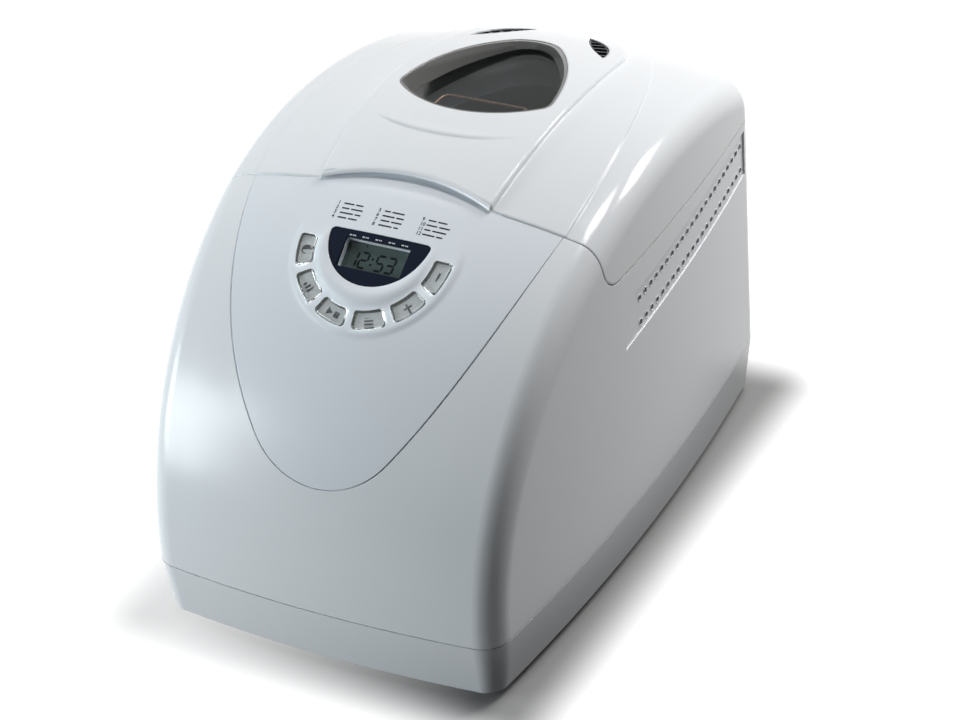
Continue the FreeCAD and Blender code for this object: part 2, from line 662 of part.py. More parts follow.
def make_housing():
    gap = d.seam_gap
    above = slab(d.base_seam_height, FAR)
    lid_space = lid_region(LID_Y - gap, d.lid_seam_height - gap, d.lid_corner_radius + gap)
    deck = d.lid_seam_height - gap - d.wall
    lid_walls = lid_region(LID_Y - gap - d.wall, deck, d.lid_corner_radius + gap + d.wall)
    outer = envelope().cut(lid_space).common(above)
    hollow = envelope(d.wall).cut(lid_walls)
    body = outer.cut(hollow)
    body = body.cut(panel_prism(d.seam_gap / 2).cut(envelope(d.wall)))
    ledge = shell(d.wall, 2 * d.wall).common(panel_prism(d.ledge_width).cut(panel_prism(-d.ledge_width)))
    body = body.fuse(ledge.cut(lid_space))
    body = body.cut(scoop(d.wall + d.seat_gap))
    body = body.cut(chamber_prism(d.seat_gap, d.chamber_floor, FAR))
    body = body.cut(side_recess())
    holes = [rod(d.hole_radius, V(-FAR, y, z), V(FAR, y, z)) for y, z in hole_spots()]
    skin = shell(-d.wall, 2 * d.wall)
    body = body.cut(Part.makeCompound(holes).common(skin))
    inside = V(d.gland_x, BACK - d.overrun, d.gland_height)
    body = body.cut(rod(d.gland_radius, inside, inside + V(0, 2 * d.overrun, 0)))
    for x in hinge_ends():
        w, r = d.lug_width, d.lug_radius
        knuckle = rod(r, V(x - w / 2, HINGE_Y, HINGE_Z), V(x + w / 2, HINGE_Y, HINGE_Z))
        neck = Part.makeBox(w, r - d.neck_relief, HINGE_Z - deck, V(x - w / 2, HINGE_Y - r, deck))
        hole = rod(d.pin_radius, V(x - w, HINGE_Y, HINGE_Z), V(x + w, HINGE_Y, HINGE_Z))
        body = body.fuse(knuckle.fuse(neck)).cut(hole)
    for spot in post_spots():
        low, high = d.base_seam_height - d.seam_gap, d.base_seam_height + d.post_height
        web_low = d.base_seam_height + d.base_lip_height + d.web_gap
        post = Part.makeCylinder(d.base_post_radius, high - low, spot + V(0, 0, low))
        left = spot.x if spot.x > 0 else spot.x - FAR
        corner = V(left, spot.y - d.web_thickness / 2, web_low)
        web = Part.makeBox(FAR, d.web_thickness, high - web_low, corner)
        body = body.fuse(post.fuse(web.common(envelope(d.wall / 2))))
    return body


# Front panel and controls

def make_panel():
    reach = LID_Y - d.seam_gap
    skin = shell(0, d.wall).common(panel_prism(-d.seam_gap / 2))
    front_half = Part.makeBox(2 * FAR, FAR + reach, FAR, V(-FAR, -FAR, 0))
    bowl = envelope().common(scoop(d.wall)).common(front_half)
    body = skin.fuse(bowl).cut(scoop())
    for corner in board_corners():
        post = control_rod(d.standoff_radius, corner.x, corner.y, -d.board_drop, d.overrun)
        body = body.fuse(post.common(envelope(d.wall / 2)))
    body = body.cut(display_prism(d.seat_gap))
    for angle in BUTTON_ANGLES:
        body = body.cut(button_prism(angle, d.button_gap))
    return body


def make_button(angle):
    block = button_prism(angle)
    cap = block.common(shell(-d.button_rise, d.wall + d.rest_gap + d.button_depth / 2))
    low = d.wall + d.rest_gap
    flange = button_prism(angle, d.button_flange).common(shell(low, low + d.button_depth / 2))
    spot = button_centre(angle)
    stem_low = -d.board_drop + d.switch_height + d.button_travel + d.stem_gap
    stem = control_rod(d.stem_radius, spot.x, spot.y, stem_low, 0).common(envelope(low + d.stem_sink))
    return cap.fuse(flange).fuse(stem)


def make_bezel():
    plate = display_prism().common(shell(-d.bezel_rise, d.wall))
    flange = display_prism(d.bezel_flange).common(shell(d.wall, d.wall + d.bezel_flange_thickness))
    opening = control_box(d.lcd_width, d.lcd_height, 2 * d.board_drop, 0, d.lcd_offset, d.board_drop)
    return plate.fuse(flange).cut(opening)


def make_switches():
    solids = []
    for angle in BUTTON_ANGLES:
        spot = button_centre(angle)
        size, tall = d.switch_size, d.switch_height - d.plunger_height
        top = tall - d.board_drop
        case = control_box(size, size, tall, spot.x, spot.y, top)
        plunger = control_rod(d.plunger_radius, spot.x, spot.y, top, top + d.plunger_height)
        solids.append(tidied(case.fuse(plunger)))
    return Part.makeCompound(solids)


def make_controls():
    formed("front_panel", make_panel())
    formed("display_bezel", make_bezel())
    for i, angle in enumerate(BUTTON_ANGLES):
        formed("button_%d" % (i + 1), make_button(angle))
    formed("tact_switches", make_switches())
    board = control_box(d.board_width, d.board_height, d.board_thickness, 0, d.board_offset, -d.board_drop)
    formed("control_board", board)
    width, height = d.lcd_width + 2 * d.lcd_frame, d.lcd_height + 2 * d.lcd_frame
    formed("lcd_module", control_box(width, height, d.board_drop - d.lcd_sink, 0, d.lcd_offset, -d.lcd_sink))


# Lid

def make_hood(inset=0.0):
    """The raised hood as a solid, drawn in by an inset."""
    return envelope(inset - d.hood_rise).common(upright(hood_face(-inset), d.base_seam_height, FAR))


def boss_spots():
    inset = d.boss_inset
    return [V(sx * (d.liner_half_width - inset), y, 0)
            for sx in (-1, 1) for y in (d.liner_front + inset, d.liner_rear - inset)]


def rim_edges(solid):
    """The upper edges of a solid's upright side faces."""
    sides = [f for f in solid.Faces if abs(f.normalAt(*f.Surface.parameter(f.CenterOfMass)).z) < 0.02]
    upright_keys = {e.hashCode() for e in upright_edges(solid)}
    return [e for f in sides for e in f.Edges
            if e.hashCode() not in upright_keys and e.BoundBox.ZMin > d.lid_seam_height]


def make_lid():
    round_edge = d.hinge_radius - d.hinge_step
    region = lid_region(LID_Y, d.lid_seam_height, d.lid_corner_radius, round_edge)
    behind = Part.makeBox(2 * FAR, 2 * FAR, FAR, V(-FAR, LID_Y, 0))
    body = envelope().common(region)
    raised = envelope(-d.crease_rise).common(upright(crease_face(), d.dome_height, FAR))
    body = body.fuse(raised.common(region))
    hood = make_hood()
    hood = hood.makeFillet(d.hood_edge_radius, rim_edges(hood))
    lip = hood.cut(behind).cut(envelope(-d.lip_clearance))
    body = body.fuse(hood.common(region)).fuse(lip)
    inside = lid_region(LID_Y + d.wall, 0, d.lid_corner_radius, round_edge - d.wall)
    hollow = envelope(d.wall).common(inside).fuse(make_hood(d.wall).common(inside))
    body = body.cut(hollow)
    inner_skin = envelope(d.wall / 2)
    top = d.liner_height + d.liner_thickness
    for spot in boss_spots():
        boss = Part.makeCylinder(d.boss_radius, FAR, spot + V(0, 0, top)).common(inner_skin)
        pilot = Part.makeCylinder(d.screw_radius, d.screw_length, spot + V(0, 0, top - d.screw_head))
        body = body.fuse(boss).cut(pilot)
    for x in hinge_ends():
        w, r, gap = d.lug_width / 2, d.lug_radius, d.rib_gap
        slot = Part.makeBox(2 * (w + gap), FAR, HINGE_Z, V(x - w - gap, HINGE_Y - d.hinge_radius, 0))
        body = body.cut(slot)
        for low in (x - w - gap - d.rib_thickness, x + w + gap):
            disc = rod(r, V(low, HINGE_Y, HINGE_Z), V(low + d.rib_thickness, HINGE_Y, HINGE_Z))
            web = Part.makeBox(d.rib_thickness, 2 * r, FAR, V(low, HINGE_Y - r, HINGE_Z)).common(inner_skin)
            hole = rod(d.pin_radius + d.running_gap, V(low - gap, HINGE_Y, HINGE_Z),
                       V(low + d.rib_thickness + gap, HINGE_Y, HINGE_Z))
            body = body.fuse(disc.fuse(web)).cut(hole)
    body = body.cut(upright(three_lobe_face(), d.dome_height, FAR))
    for side in (-1, 1):
        body = body.cut(upright(vent_face(side), d.dome_height, FAR))
    return body


def make_window_rim():
    """The bevelled surround between the lid opening and the glass."""
    low = d.glass_height + d.glass_thickness
    outer = upright(three_lobe_face(-d.seat_gap), low, FAR).common(envelope(d.rim_sink - d.hood_rise))
    wires = []
    for inset, z in ((d.window_bevel + d.seat_gap, low), (d.rim_lip, d.body_height)):
        wire = three_lobe_face(-inset).OuterWire
        wire.translate(V(0, 0, z))
        wires.append(wire)
    return outer.cut(Part.makeLoft(wires, True, True))


def make_grille(side):
    """A vent insert with slats across its crescent."""
    outline = upright(vent_face(side, -d.seat_gap), d.lid_seam_height, FAR)
    top = d.grille_sink - d.hood_rise
    body = outline.common(shell(top, top + d.vent_depth))
    tip, end = V(side * d.vent_tip_x, d.vent_tip_y, 0), V(side * d.vent_end_x, d.vent_end_y, 0)
    well = upright(vent_face(side, -d.seat_gap - d.grille_wall), d.lid_seam_height, FAR)
    bars = []
    count = int(d.slat_count)
    for i in range(1, count + 1):
        bar = Part.makeBox(FAR, d.vent_slat, FAR, V(-FAR / 2, -d.vent_slat / 2, 0))
        bar.rotate(V(0, 0, 0), UP, math.degrees(math.atan2(end.y - tip.y, end.x - tip.x)) + 90)
        bar.translate(tip + (end - tip) * (i / (count + 1)))
        bars.append(bar)
    return body.cut(well.cut(Part.makeCompound(bars)))


def make_liner():
    low, t = d.liner_height, d.liner_thickness
    w = d.liner_half_width
    plate = Part.makeBox(2 * w, d.liner_rear - d.liner_front, t, V(-w, d.liner_front, low))
    plate = plate.makeFillet(d.liner_corner, upright_edges(plate))

    def dome(shrink, z_low, z_high):
        wd, dp = d.dome_width / 2 - shrink, d.dome_depth / 2 - shrink
        block = Part.makeBox(2 * wd, 2 * dp, z_high - z_low, V(-wd, d.chamber_y - dp, z_low))
        return block.makeFillet(d.dome_corner - shrink, upright_edges(block))

    body = plate.fuse(dome(0, low, d.dome_height)).cut(dome(t, low - t, d.dome_height - t))
    body = body.cut(upright(three_lobe_face(-d.liner_window_inset), low, FAR))
    for spot in boss_spots():
        body = body.cut(Part.makeCylinder(d.screw_radius, 3 * t, spot + V(0, 0, low - t)))
    return tidied(body)


def make_glass_clip():
    """A spring wire that holds the front of the glass up against its rim."""
    w, front, rear = d.glass_clip_half_width, d.glass_clip_front, d.glass_clip_rear
    low, top = d.glass_height - d.glass_clip_radius - d.rest_gap, d.glass_clip_top
    points = [V(-w, front, top), V(-w, front, low), V(-w, rear, low),
              V(w, rear, low), V(w, front, low), V(w, front, top)]
    return bent_rod(d.glass_clip_radius, *rounded_path(points, [d.glass_clip_bend] * 4))


def make_lid_pieces():
    formed("lid_shell", make_lid())
    formed("window_rim", make_window_rim())
    glass_top = d.glass_height + d.glass_thickness
    formed("window_glass", upright(three_lobe_face(d.glass_margin), d.glass_height, glass_top))
    formed("glass_clip", make_glass_clip())
    formed("vent_grille_left", make_grille(-1))
    formed("vent_grille_right", make_grille(1))
    formed("lid_liner", make_liner())
    low = d.liner_height - d.screw_head
    formed("lid_screws", Part.makeCompound([screw_solid(s + V(0, 0, low), UP) for s in boss_spots()]))
    reach = V(d.pin_length / 2, 0, 0)
    spots = [V(x, HINGE_Y, HINGE_Z) for x in hinge_ends()]
    formed("hinge_pins", Part.makeCompound([rod(d.pin_radius, spot - reach, spot + reach) for spot in spots]))


# Baking chamber

def along_y(item):
    """Turns an upright item to lie along the depth."""
    item.Placement = FreeCAD.Placement(V(), FreeCAD.Rotation(V(1, 0, 0), -90))
    return item


def cylinder_y(label, radius, length, x, y, z):
    item = along_y(cylinder(label, radius, length))
    return place(item, x, y, z)


CHAMBER_FRONT = "chamber_y - chamber_depth / 2"


def make_chamber():
    rim = "lid_seam_height - seam_gap"
    deep = rim + " + chamber_wall - chamber_floor"
    outer = rounded_block("chamber_outer", "chamber_width", "chamber_depth", "chamber_corner", deep,
                          y="chamber_y", z="chamber_floor")
    flange = rounded_block("chamber_rim", "chamber_width + 2 * chamber_flange",
                           "chamber_depth + 2 * chamber_flange", "chamber_corner + chamber_flange",
                           "chamber_wall", y="chamber_y", z=rim)
    inner = rounded_block("chamber_inner", "chamber_width - 2 * chamber_wall",
                          "chamber_depth - 2 * chamber_wall", "chamber_corner - chamber_wall", deep,
                          y="chamber_y", z="chamber_floor + chamber_wall")
    through, start = "2 * overrun", CHAMBER_FRONT + " - overrun"
    holes = [cylinder("chamber_shaft_hole", "shaft_radius + shaft_clearance", through,
                      y="chamber_y", z="chamber_floor - overrun")]
    for side in (-1, 1):
        holes.append(cylinder_y("terminal_hole_%d" % (side + 1), "bush_radius", through,
                                "%d * terminal_spread" % side, start, "element_height"))
    holes.append(cylinder_y("sensor_hole", "sensor_radius", through, "sensor_x", start, "sensor_height"))
    cup = cut("chamber_cup", fuse("chamber_solid", outer, flange), inner)
    cut("chamber_liner", cup, group("chamber_holes", holes))


def bent_rod(radius, *runs):
    """A round bar that follows lines and arcs."""
    path = wire_of(*runs)
    start = runs[0][0]
    ring = Part.Wire(Part.makeCircle(radius, start, runs[0][1] - start))
    return path.makePipeShell([ring], True, False)


def corner_arc(corner, before, after, radius):
    """A quarter arc that rounds the corner between two directions."""
    start, end = corner - before * radius, corner + after * radius
    middle = corner - (before - after) * radius * (1 - math.sqrt(0.5))
    return start, middle, end


def rounded_path(points, radii):
    """A path of straight runs with a round bend at each inner corner."""
    runs, here = [], points[0]
    for i in range(1, len(points) - 1):
        before = (points[i] - points[i - 1]).normalize()
        after = (points[i + 1] - points[i]).normalize()
        arc = corner_arc(points[i], before, after, radii[i - 1])
        runs += [(here, arc[0]), arc]
        here = arc[2]
    return runs + [(here, points[-1])]


def make_element():
    x, y = d.element_half_x, d.element_half_y
    t, z = d.terminal_spread, d.element_height
    start = -d.chamber_depth / 2 - d.terminal_reach
    spots = [(-t, start), (-t, -y), (-x, -y), (-x, y), (x, y), (x, -y), (t, -y), (t, start)]
    points = [V(px, d.chamber_y + py, z) for px, py in spots]
    bends = [d.terminal_bend] + [d.element_corner] * 4 + [d.terminal_bend]
    formed("heating_element", bent_rod(d.element_radius, *rounded_path(points, bends)))
    rings = []
    for side in (-1, 1):
        middle = V(side * t, d.chamber_y - d.chamber_depth / 2 + d.chamber_wall / 2, z)
        reach = V(0, d.bush_length / 2, 0)
        rings.append(rod(d.bush_radius, middle - reach, middle + reach).cut(
            rod(d.element_radius, middle - reach * 2, middle + reach * 2)))
    formed("element_bushes", Part.makeCompound(rings))


def make_sensor():
    stem = cylinder_y("sensor_stem", "sensor_radius", "sensor_length", "sensor_x",
                      CHAMBER_FRONT + " - sensor_tail", "sensor_height")
    collar = cylinder_y("sensor_collar", "sensor_collar_radius", "sensor_collar_length", "sensor_x",
                        CHAMBER_FRONT + " - sensor_collar_length", "sensor_height")
    fuse("temperature_sensor", stem, collar)


# Bread pan

PAN_RIM = "pan_floor + pan_height"
BAIL_Z = PAN_RIM + " + bail_rise"
HUB_LOW = "pan_floor + pan_wall + pan_bush_height + rest_gap"


def tapered_feature(body, kind, label, shrink, low, high):
    """A loft between two rounded rectangles of the pan."""
    sketches = []
    for draft, height in (("pan_draft", low), ("0", high)):
        sketch = new_sketch(body, "XY_Plane", height)
        inset = "2 * (%s + %s)" % (draft, shrink)
        rounded_rectangle(sketch, "pan_width - " + inset, "pan_depth - " + inset,
                          "pan_corner - (%s)" % shrink)
        sketches.append(sketch)
    doc.recompute()
    loft = body.newObject(kind, label)
    loft.Profile = sketches[0]
    loft.Sections = [sketches[1]]
    loft.Ruled = True
    doc.recompute()


def make_pan():
    body = doc.addObject("PartDesign::Body", "pan_vessel")
    tapered_feature(body, "PartDesign::AdditiveLoft", "pan_outer", "0", "pan_floor", PAN_RIM)
    tapered_feature(body, "PartDesign::SubtractiveLoft", "pan_inner", "pan_wall",
                    "pan_floor + pan_wall", PAN_RIM)
    place(body, y="chamber_y")
    ears = []
    for side in (-1, 1):
        ears.append(box("pan_ear_%d" % (side + 1), "ear_thickness + ear_sink", "ear_width",
                        "ear_drop + bail_rise + bail_radius + ear_margin",
                        "%d * (pan_width + ear_thickness - ear_sink) / 2" % side, "chamber_y",
                        PAN_RIM + " - ear_drop"))
    pivot = cylinder("bail_hole", "bail_radius + bail_gap", "body_width")
    pivot.Placement = FreeCAD.Placement(V(), FreeCAD.Rotation(V(0, 1, 0), 90))
    place(pivot, "-body_width / 2", "chamber_y", BAIL_Z)
    bush_hole = cylinder("pan_bush_hole", "pan_bush_radius", "2 * overrun",
                         y="chamber_y", z="pan_floor - overrun")
    cut("bread_pan", fuse("pan_with_ears", body, *ears), group("pan_holes", [pivot, bush_hole]))
    tube("pan_collar", "collar_radius - collar_wall", "collar_radius",
         "chamber_floor + chamber_wall + rest_gap", "pan_floor", y="chamber_y")
    top = "pan_floor + pan_wall"
    turned("pan_bush", (("shaft_radius + running_gap", "pan_floor"), ("pan_bush_radius", "pan_floor"),
                        ("pan_bush_radius", top), ("pan_bush_flange", top),
                        ("pan_bush_flange", top + " + pan_bush_height"),
                        ("shaft_radius + running_gap", top + " + pan_bush_height")), y="chamber_y")
    end = d.pan_width / 2 - d.bail_tail
    side = d.pan_width / 2 + d.bail_offset
    z = d.pan_floor + d.pan_height + d.bail_rise
    spots = [(-end, 0), (-side, 0), (-side, -d.bail_reach), (side, -d.bail_reach), (side, 0), (end, 0)]
    points = [V(px, d.chamber_y + py, z) for px, py in spots]
    formed("pan_handle", bent_rod(d.bail_radius, *rounded_path(points, [d.bail_bend] * 4)))


# Drive

PLATE_LOW = "chamber_floor + chamber_wall + coupling_gap"
DOG_LOW = PLATE_LOW + " + coupling_plate"


def make_couplings():
    plate = cylinder("coupling_disc", "coupling_radius", "coupling_plate", y="chamber_y", z=PLATE_LOW)
    dogs = [box("coupling_dog_%d" % (s + 1), "dog_length", "dog_width", "dog_height",
                "%d * (coupling_radius - dog_length / 2 - dog_inset)" % s, "chamber_y", DOG_LOW)
            for s in (-1, 1)]
    tall = "coupling_plate + 2 * dog_height + overrun"
    bore = cylinder("coupling_bore", "shaft_radius", tall, y="chamber_y", z="chamber_floor")
    cut("drive_coupling", fuse("coupling_lower", plate, *dogs), bore)
    wing_low = DOG_LOW + " + slide_gap"
    wings = box("coupling_wings", "dog_width", "2 * (coupling_radius - wing_inset)", "dog_height",
                "0", "chamber_y", wing_low)
    upper_bore = cylinder("coupling_upper_bore", "shaft_radius", tall, y="chamber_y", z="chamber_floor")
    hub = cylinder("coupling_hub", "coupling_radius - dog_inset - dog_length - slide_gap", "dog_height",
                   y="chamber_y", z=wing_low)
    cut("pan_coupling", fuse("coupling_upper", wings, hub), upper_bore)
    shaft = cylinder("pan_shaft_bar", "shaft_radius", "pan_shaft_top - (%s)" % wing_low,
                     y="chamber_y", z=wing_low)
    flat = box("pan_shaft_flat", "shaft_radius", "4 * shaft_radius", "pan_height",
               "1.5 * shaft_radius - flat_depth", "chamber_y", HUB_LOW)
    cut("pan_shaft", shaft, flat)


def make_paddle():
    hub_top = HUB_LOW + " + paddle_hub_height"
    hub = turned("paddle_hub", (("0", HUB_LOW), ("paddle_hub_radius", HUB_LOW),
                                ("paddle_top_radius", hub_top), ("0", hub_top)), y="chamber_y")
    blade = doc.addObject("PartDesign::Body", "paddle_blade")
    sketch = new_sketch(blade, "XZ_Plane")
    polygon(sketch, (("paddle_root", HUB_LOW), ("paddle_reach", HUB_LOW),
                     ("paddle_reach", HUB_LOW + " + paddle_tip_height"),
                     ("paddle_root", HUB_LOW + " + paddle_root_height")))
    doc.recompute()
    pad = blade.newObject("PartDesign::Pad", "paddle_blade_pad")
    pad.Profile = sketch
    pad.Midplane = True
    bind(pad, "Length", "paddle_thickness")
    place(blade, y="chamber_y")
    bore = cylinder("paddle_bore", "shaft_radius + paddle_gap", "pan_shaft_top + rest_gap - pan_floor",
                    y="chamber_y", z="pan_floor")
    key = box("paddle_key", "shaft_radius", "4 * shaft_radius", "pan_height",
              "1.5 * shaft_radius - flat_depth + paddle_gap", "chamber_y", "pan_floor")
    cut("kneading_paddle", fuse("paddle_solid", hub, blade), cut("paddle_bore_keyed", bore, key))


def grooved_rim(radius, flange):
    """The outline of a belt groove between two flanges, from the bottom up."""
    low, high = "pulley_bottom", "pulley_bottom + pulley_width"
    lip = "(pulley_width - belt_width) / 2"
    rim = "%s + %s" % (radius, flange)
    return [(rim, low), (rim, low + " + " + lip), (radius, low + " + " + lip),
            (radius, high + " - " + lip), (rim, high + " - " + lip), (rim, high)]


def make_pulleys():
    low, high = "pulley_bottom", "pulley_bottom + pulley_width"
    web_low = "pulley_bottom + (pulley_width - pulley_web) / 2"
    web_high = "pulley_bottom + (pulley_width + pulley_web) / 2"
    hub, reach = "pulley_hub_radius", "pulley_radius - pulley_rim"
    turned("drive_pulley", [("shaft_radius", low), (hub, low), (hub, web_low), (reach, web_low), (reach, low),
                            *grooved_rim("pulley_radius", "pulley_flange"),
                            (reach, high), (reach, web_high), (hub, web_high), (hub, high),
                            ("shaft_radius", high)], y="chamber_y")
    turned("motor_pulley", [("motor_shaft_radius", low),
                            *grooved_rim("motor_pulley_radius", "motor_pulley_flange"),
                            ("motor_shaft_radius", high)], y="motor_y")


def belt_face(extra):
    """The plan outline of the belt at a distance from both pulleys."""
    big, small = d.pulley_radius + extra, d.motor_pulley_radius + extra
    rear, front = V(0, d.chamber_y, 0), V(0, d.motor_y, 0)
    lean = (big - small) / (d.chamber_y - d.motor_y)
    across = math.sqrt(1 - lean * lean)
    right, left = V(across, -lean, 0), V(-across, -lean, 0)
    return face_of((rear + right * big, rear + V(0, big, 0), rear + left * big),
                   (rear + left * big, front + left * small),
                   (front + left * small, front - V(0, small, 0), front + right * small),
                   (front + right * small, rear + right * big))


def make_pan_clips():
    """Four spring clips on the chamber floor that grip the pan's collar."""
    floor, grip = "chamber_floor + chamber_wall", "collar_radius + slide_gap"
    clips = []
    for i in range(4):
        blade = box("clip_blade_%d" % i, "clip_thickness", "clip_width", "clip_height",
                    grip + " + clip_thickness / 2", "0", floor)
        foot = box("clip_foot_%d" % i, "clip_foot", "clip_width", "clip_thickness",
                   grip + " + clip_foot / 2", "0", floor)
        clip = fuse("pan_clip_%d" % i, blade, foot)
        clip.Placement = FreeCAD.Placement(V(), FreeCAD.Rotation(UP, 45 + 90 * i))
        clips.append(place(clip, y="chamber_y"))
    group("pan_clips", clips)


def make_drive():
    bore, base = "shaft_radius + running_gap", "chamber_floor"
    low, flange_low = base + " - bearing_length", base + " - bearing_flange_thickness"
    turned("bearing_housing", ((bore, low), ("bearing_radius", low), ("bearing_radius", flange_low),
                               ("bearing_flange", flange_low), ("bearing_flange", base), (bore, base)),
           y="chamber_y")
    cylinder("drive_shaft", "shaft_radius", PLATE_LOW + " + coupling_plate - shaft_bottom",
             y="chamber_y", z="shaft_bottom")
    make_pulleys()
    middle = d.pulley_bottom + d.pulley_width / 2
    half = d.belt_width / 2 - d.running_gap
    band = belt_face(d.running_gap + d.belt_thickness).cut(belt_face(d.running_gap))
    band.translate(V(0, 0, middle - half))
    formed("drive_belt", band.extrude(V(0, 0, 2 * half)))


def make_motor():
    top = "bracket_height + bracket_thickness"
    can = cylinder("motor_can", "motor_radius", "motor_height", y="motor_y", z=top)
    cap = cylinder("motor_cap", "motor_cap_radius", "motor_height + motor_cap_rise", y="motor_y", z=top)
    bore = cylinder("motor_bore", "motor_shaft_radius + running_gap", "motor_shaft_depth + bracket_thickness",
                    y="motor_y", z="bracket_height")
    cut("motor_body", fuse("motor_solid", can, cap), bore)
    cylinder("motor_shaft", "motor_shaft_radius", top + " + motor_shaft_depth - rest_gap - shaft_bottom",
             y="motor_y", z="shaft_bottom")
    plate = box("bracket_plate", "2 * bracket_half_x", "2 * bracket_half_y", "bracket_thickness",
                "0", "motor_y", "bracket_height")
    floor = "foot_height + wall"
    legs = [cylinder("bracket_leg_%d" % i, "bracket_leg_radius", "bracket_height - (%s)" % floor,
                     "%d * (bracket_half_x - bracket_leg_inset)" % sx,
                     "motor_y + %d * (bracket_half_y - bracket_leg_inset)" % sy, floor)
            for i, (sx, sy) in enumerate(((1, 1), (-1, 1), (-1, -1), (1, -1)))]
    hole = cylinder("bracket_hole", "bracket_hole_radius", "2 * overrun",
                    y="motor_y", z="bracket_height - overrun")
    cut("motor_bracket", fuse("bracket_solid", plate, *legs), hole)
    cylinder("motor_capacitor", "capacitor_radius", "capacitor_height", "capacitor_x", "capacitor_y", floor)


def make_electrics():
    box("power_board", "power_board_width", "power_board_length", "board_thickness",
        "power_board_x", "power_board_y", "power_board_height")
    box("transformer", "transformer_size", "transformer_size", "transformer_height",
        "power_board_x", "power_board_y", "power_board_height + board_thickness")
    back = "-wall - gland_flange_thickness"
    gland = turned("cord_gland", (("gland_bore", back), ("gland_flange", back), ("gland_flange", "-wall"),
                                  ("gland_radius", "-wall"), ("gland_radius", "0"), ("gland_bore", "0")))
    along_y(gland)
    place(gland, "gland_x", "body_depth / 2", "gland_height")


# Build order and export
formed("base_tray", make_base_tray())
make_feet()
foot_level = V(0, 0, d.foot_height)
formed("base_screws", Part.makeCompound([screw_solid(spot + foot_level, UP) for spot in post_spots()]))
formed("main_housing", make_housing())
make_controls()
make_lid_pieces()
make_chamber()
make_element()
make_sensor()
make_pan()
make_pan_clips()
make_couplings()
make_paddle()
make_drive()
make_motor()
make_electrics()

NODES = ["base_tray", "feet", "base_screws", "main_housing", "front_panel", "display_bezel", "lcd_module",
         "control_board", "tact_switches", "lid_shell", "window_rim", "window_glass", "glass_clip",
         "vent_grille_left", "vent_grille_right", "lid_liner", "lid_screws", "hinge_pins", "chamber_liner",
         "heating_element", "element_bushes", "temperature_sensor", "pan_clips", "bearing_housing",
         "drive_shaft", "drive_coupling", "drive_pulley", "drive_belt", "motor_body", "motor_bracket",
         "motor_shaft", "motor_pulley", "motor_capacitor", "power_board", "transformer", "cord_gland",
         "bread_pan", "pan_collar", "pan_bush", "pan_handle", "pan_shaft", "pan_coupling", "kneading_paddle"]
NODES += ["button_%d" % (i + 1) for i in range(6)]

doc.recompute()
for item in doc.Objects:
    if "Invalid" in item.State or "Error" in item.State:
        raise RuntimeError("%s did not compute" % item.Label)
for node in NODES:
    shape = doc.getObjectsByLabel(node)[0].Shape
    if shape.isNull() or not shape.isValid():
        raise RuntimeError("%s has no valid shape" % node)
    shape.exportStep("parts/%s.step" % node)
    print(node, len(shape.Solids), round(shape.Volume / 1000, 2))
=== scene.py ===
import json
import math

import bmesh
import bpy
from mathutils import Matrix, Vector
from mathutils.bvhtree import BVHTree
from mathutils.interpolate import poly_3d_calc


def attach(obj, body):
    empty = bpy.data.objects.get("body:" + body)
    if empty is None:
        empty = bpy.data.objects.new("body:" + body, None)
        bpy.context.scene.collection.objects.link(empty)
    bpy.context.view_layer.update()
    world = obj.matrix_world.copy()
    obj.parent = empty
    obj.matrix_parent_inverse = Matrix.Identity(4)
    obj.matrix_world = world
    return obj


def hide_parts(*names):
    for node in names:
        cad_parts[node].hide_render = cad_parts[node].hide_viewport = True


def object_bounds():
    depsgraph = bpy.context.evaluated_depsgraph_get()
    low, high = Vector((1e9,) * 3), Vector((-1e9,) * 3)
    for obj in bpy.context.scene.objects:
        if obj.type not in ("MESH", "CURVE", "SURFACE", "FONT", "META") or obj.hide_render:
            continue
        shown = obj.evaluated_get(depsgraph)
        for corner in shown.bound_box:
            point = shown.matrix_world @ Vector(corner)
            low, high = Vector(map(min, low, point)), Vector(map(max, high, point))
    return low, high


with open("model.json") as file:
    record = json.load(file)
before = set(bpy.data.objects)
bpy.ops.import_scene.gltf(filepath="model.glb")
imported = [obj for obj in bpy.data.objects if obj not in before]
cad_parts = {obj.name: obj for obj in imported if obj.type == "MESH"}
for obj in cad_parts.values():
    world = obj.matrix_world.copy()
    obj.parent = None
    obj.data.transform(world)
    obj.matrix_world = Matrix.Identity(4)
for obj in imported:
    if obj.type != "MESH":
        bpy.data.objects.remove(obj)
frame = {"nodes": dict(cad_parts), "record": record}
CAD_BOX = [list(corner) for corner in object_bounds()]
NODES = frame["nodes"]
MM = 0.001


# Shader expressions

class Wire:
    """One shader socket; arithmetic on it adds Math nodes."""

    def __init__(self, finish, socket):
        self.finish = finish
        self.socket = socket

    def __add__(self, other):
        return self.finish.math("ADD", self, other)

    def __radd__(self, other):
        return self.finish.math("ADD", other, self)

    def __sub__(self, other):
        return self.finish.math("SUBTRACT", self, other)

    def __rsub__(self, other):
        return self.finish.math("SUBTRACT", other, self)

    def __mul__(self, other):
        return self.finish.math("MULTIPLY", self, other)

    def __rmul__(self, other):
        return self.finish.math("MULTIPLY", other, self)

    def __gt__(self, other):
        return self.finish.math("GREATER_THAN", self, other)


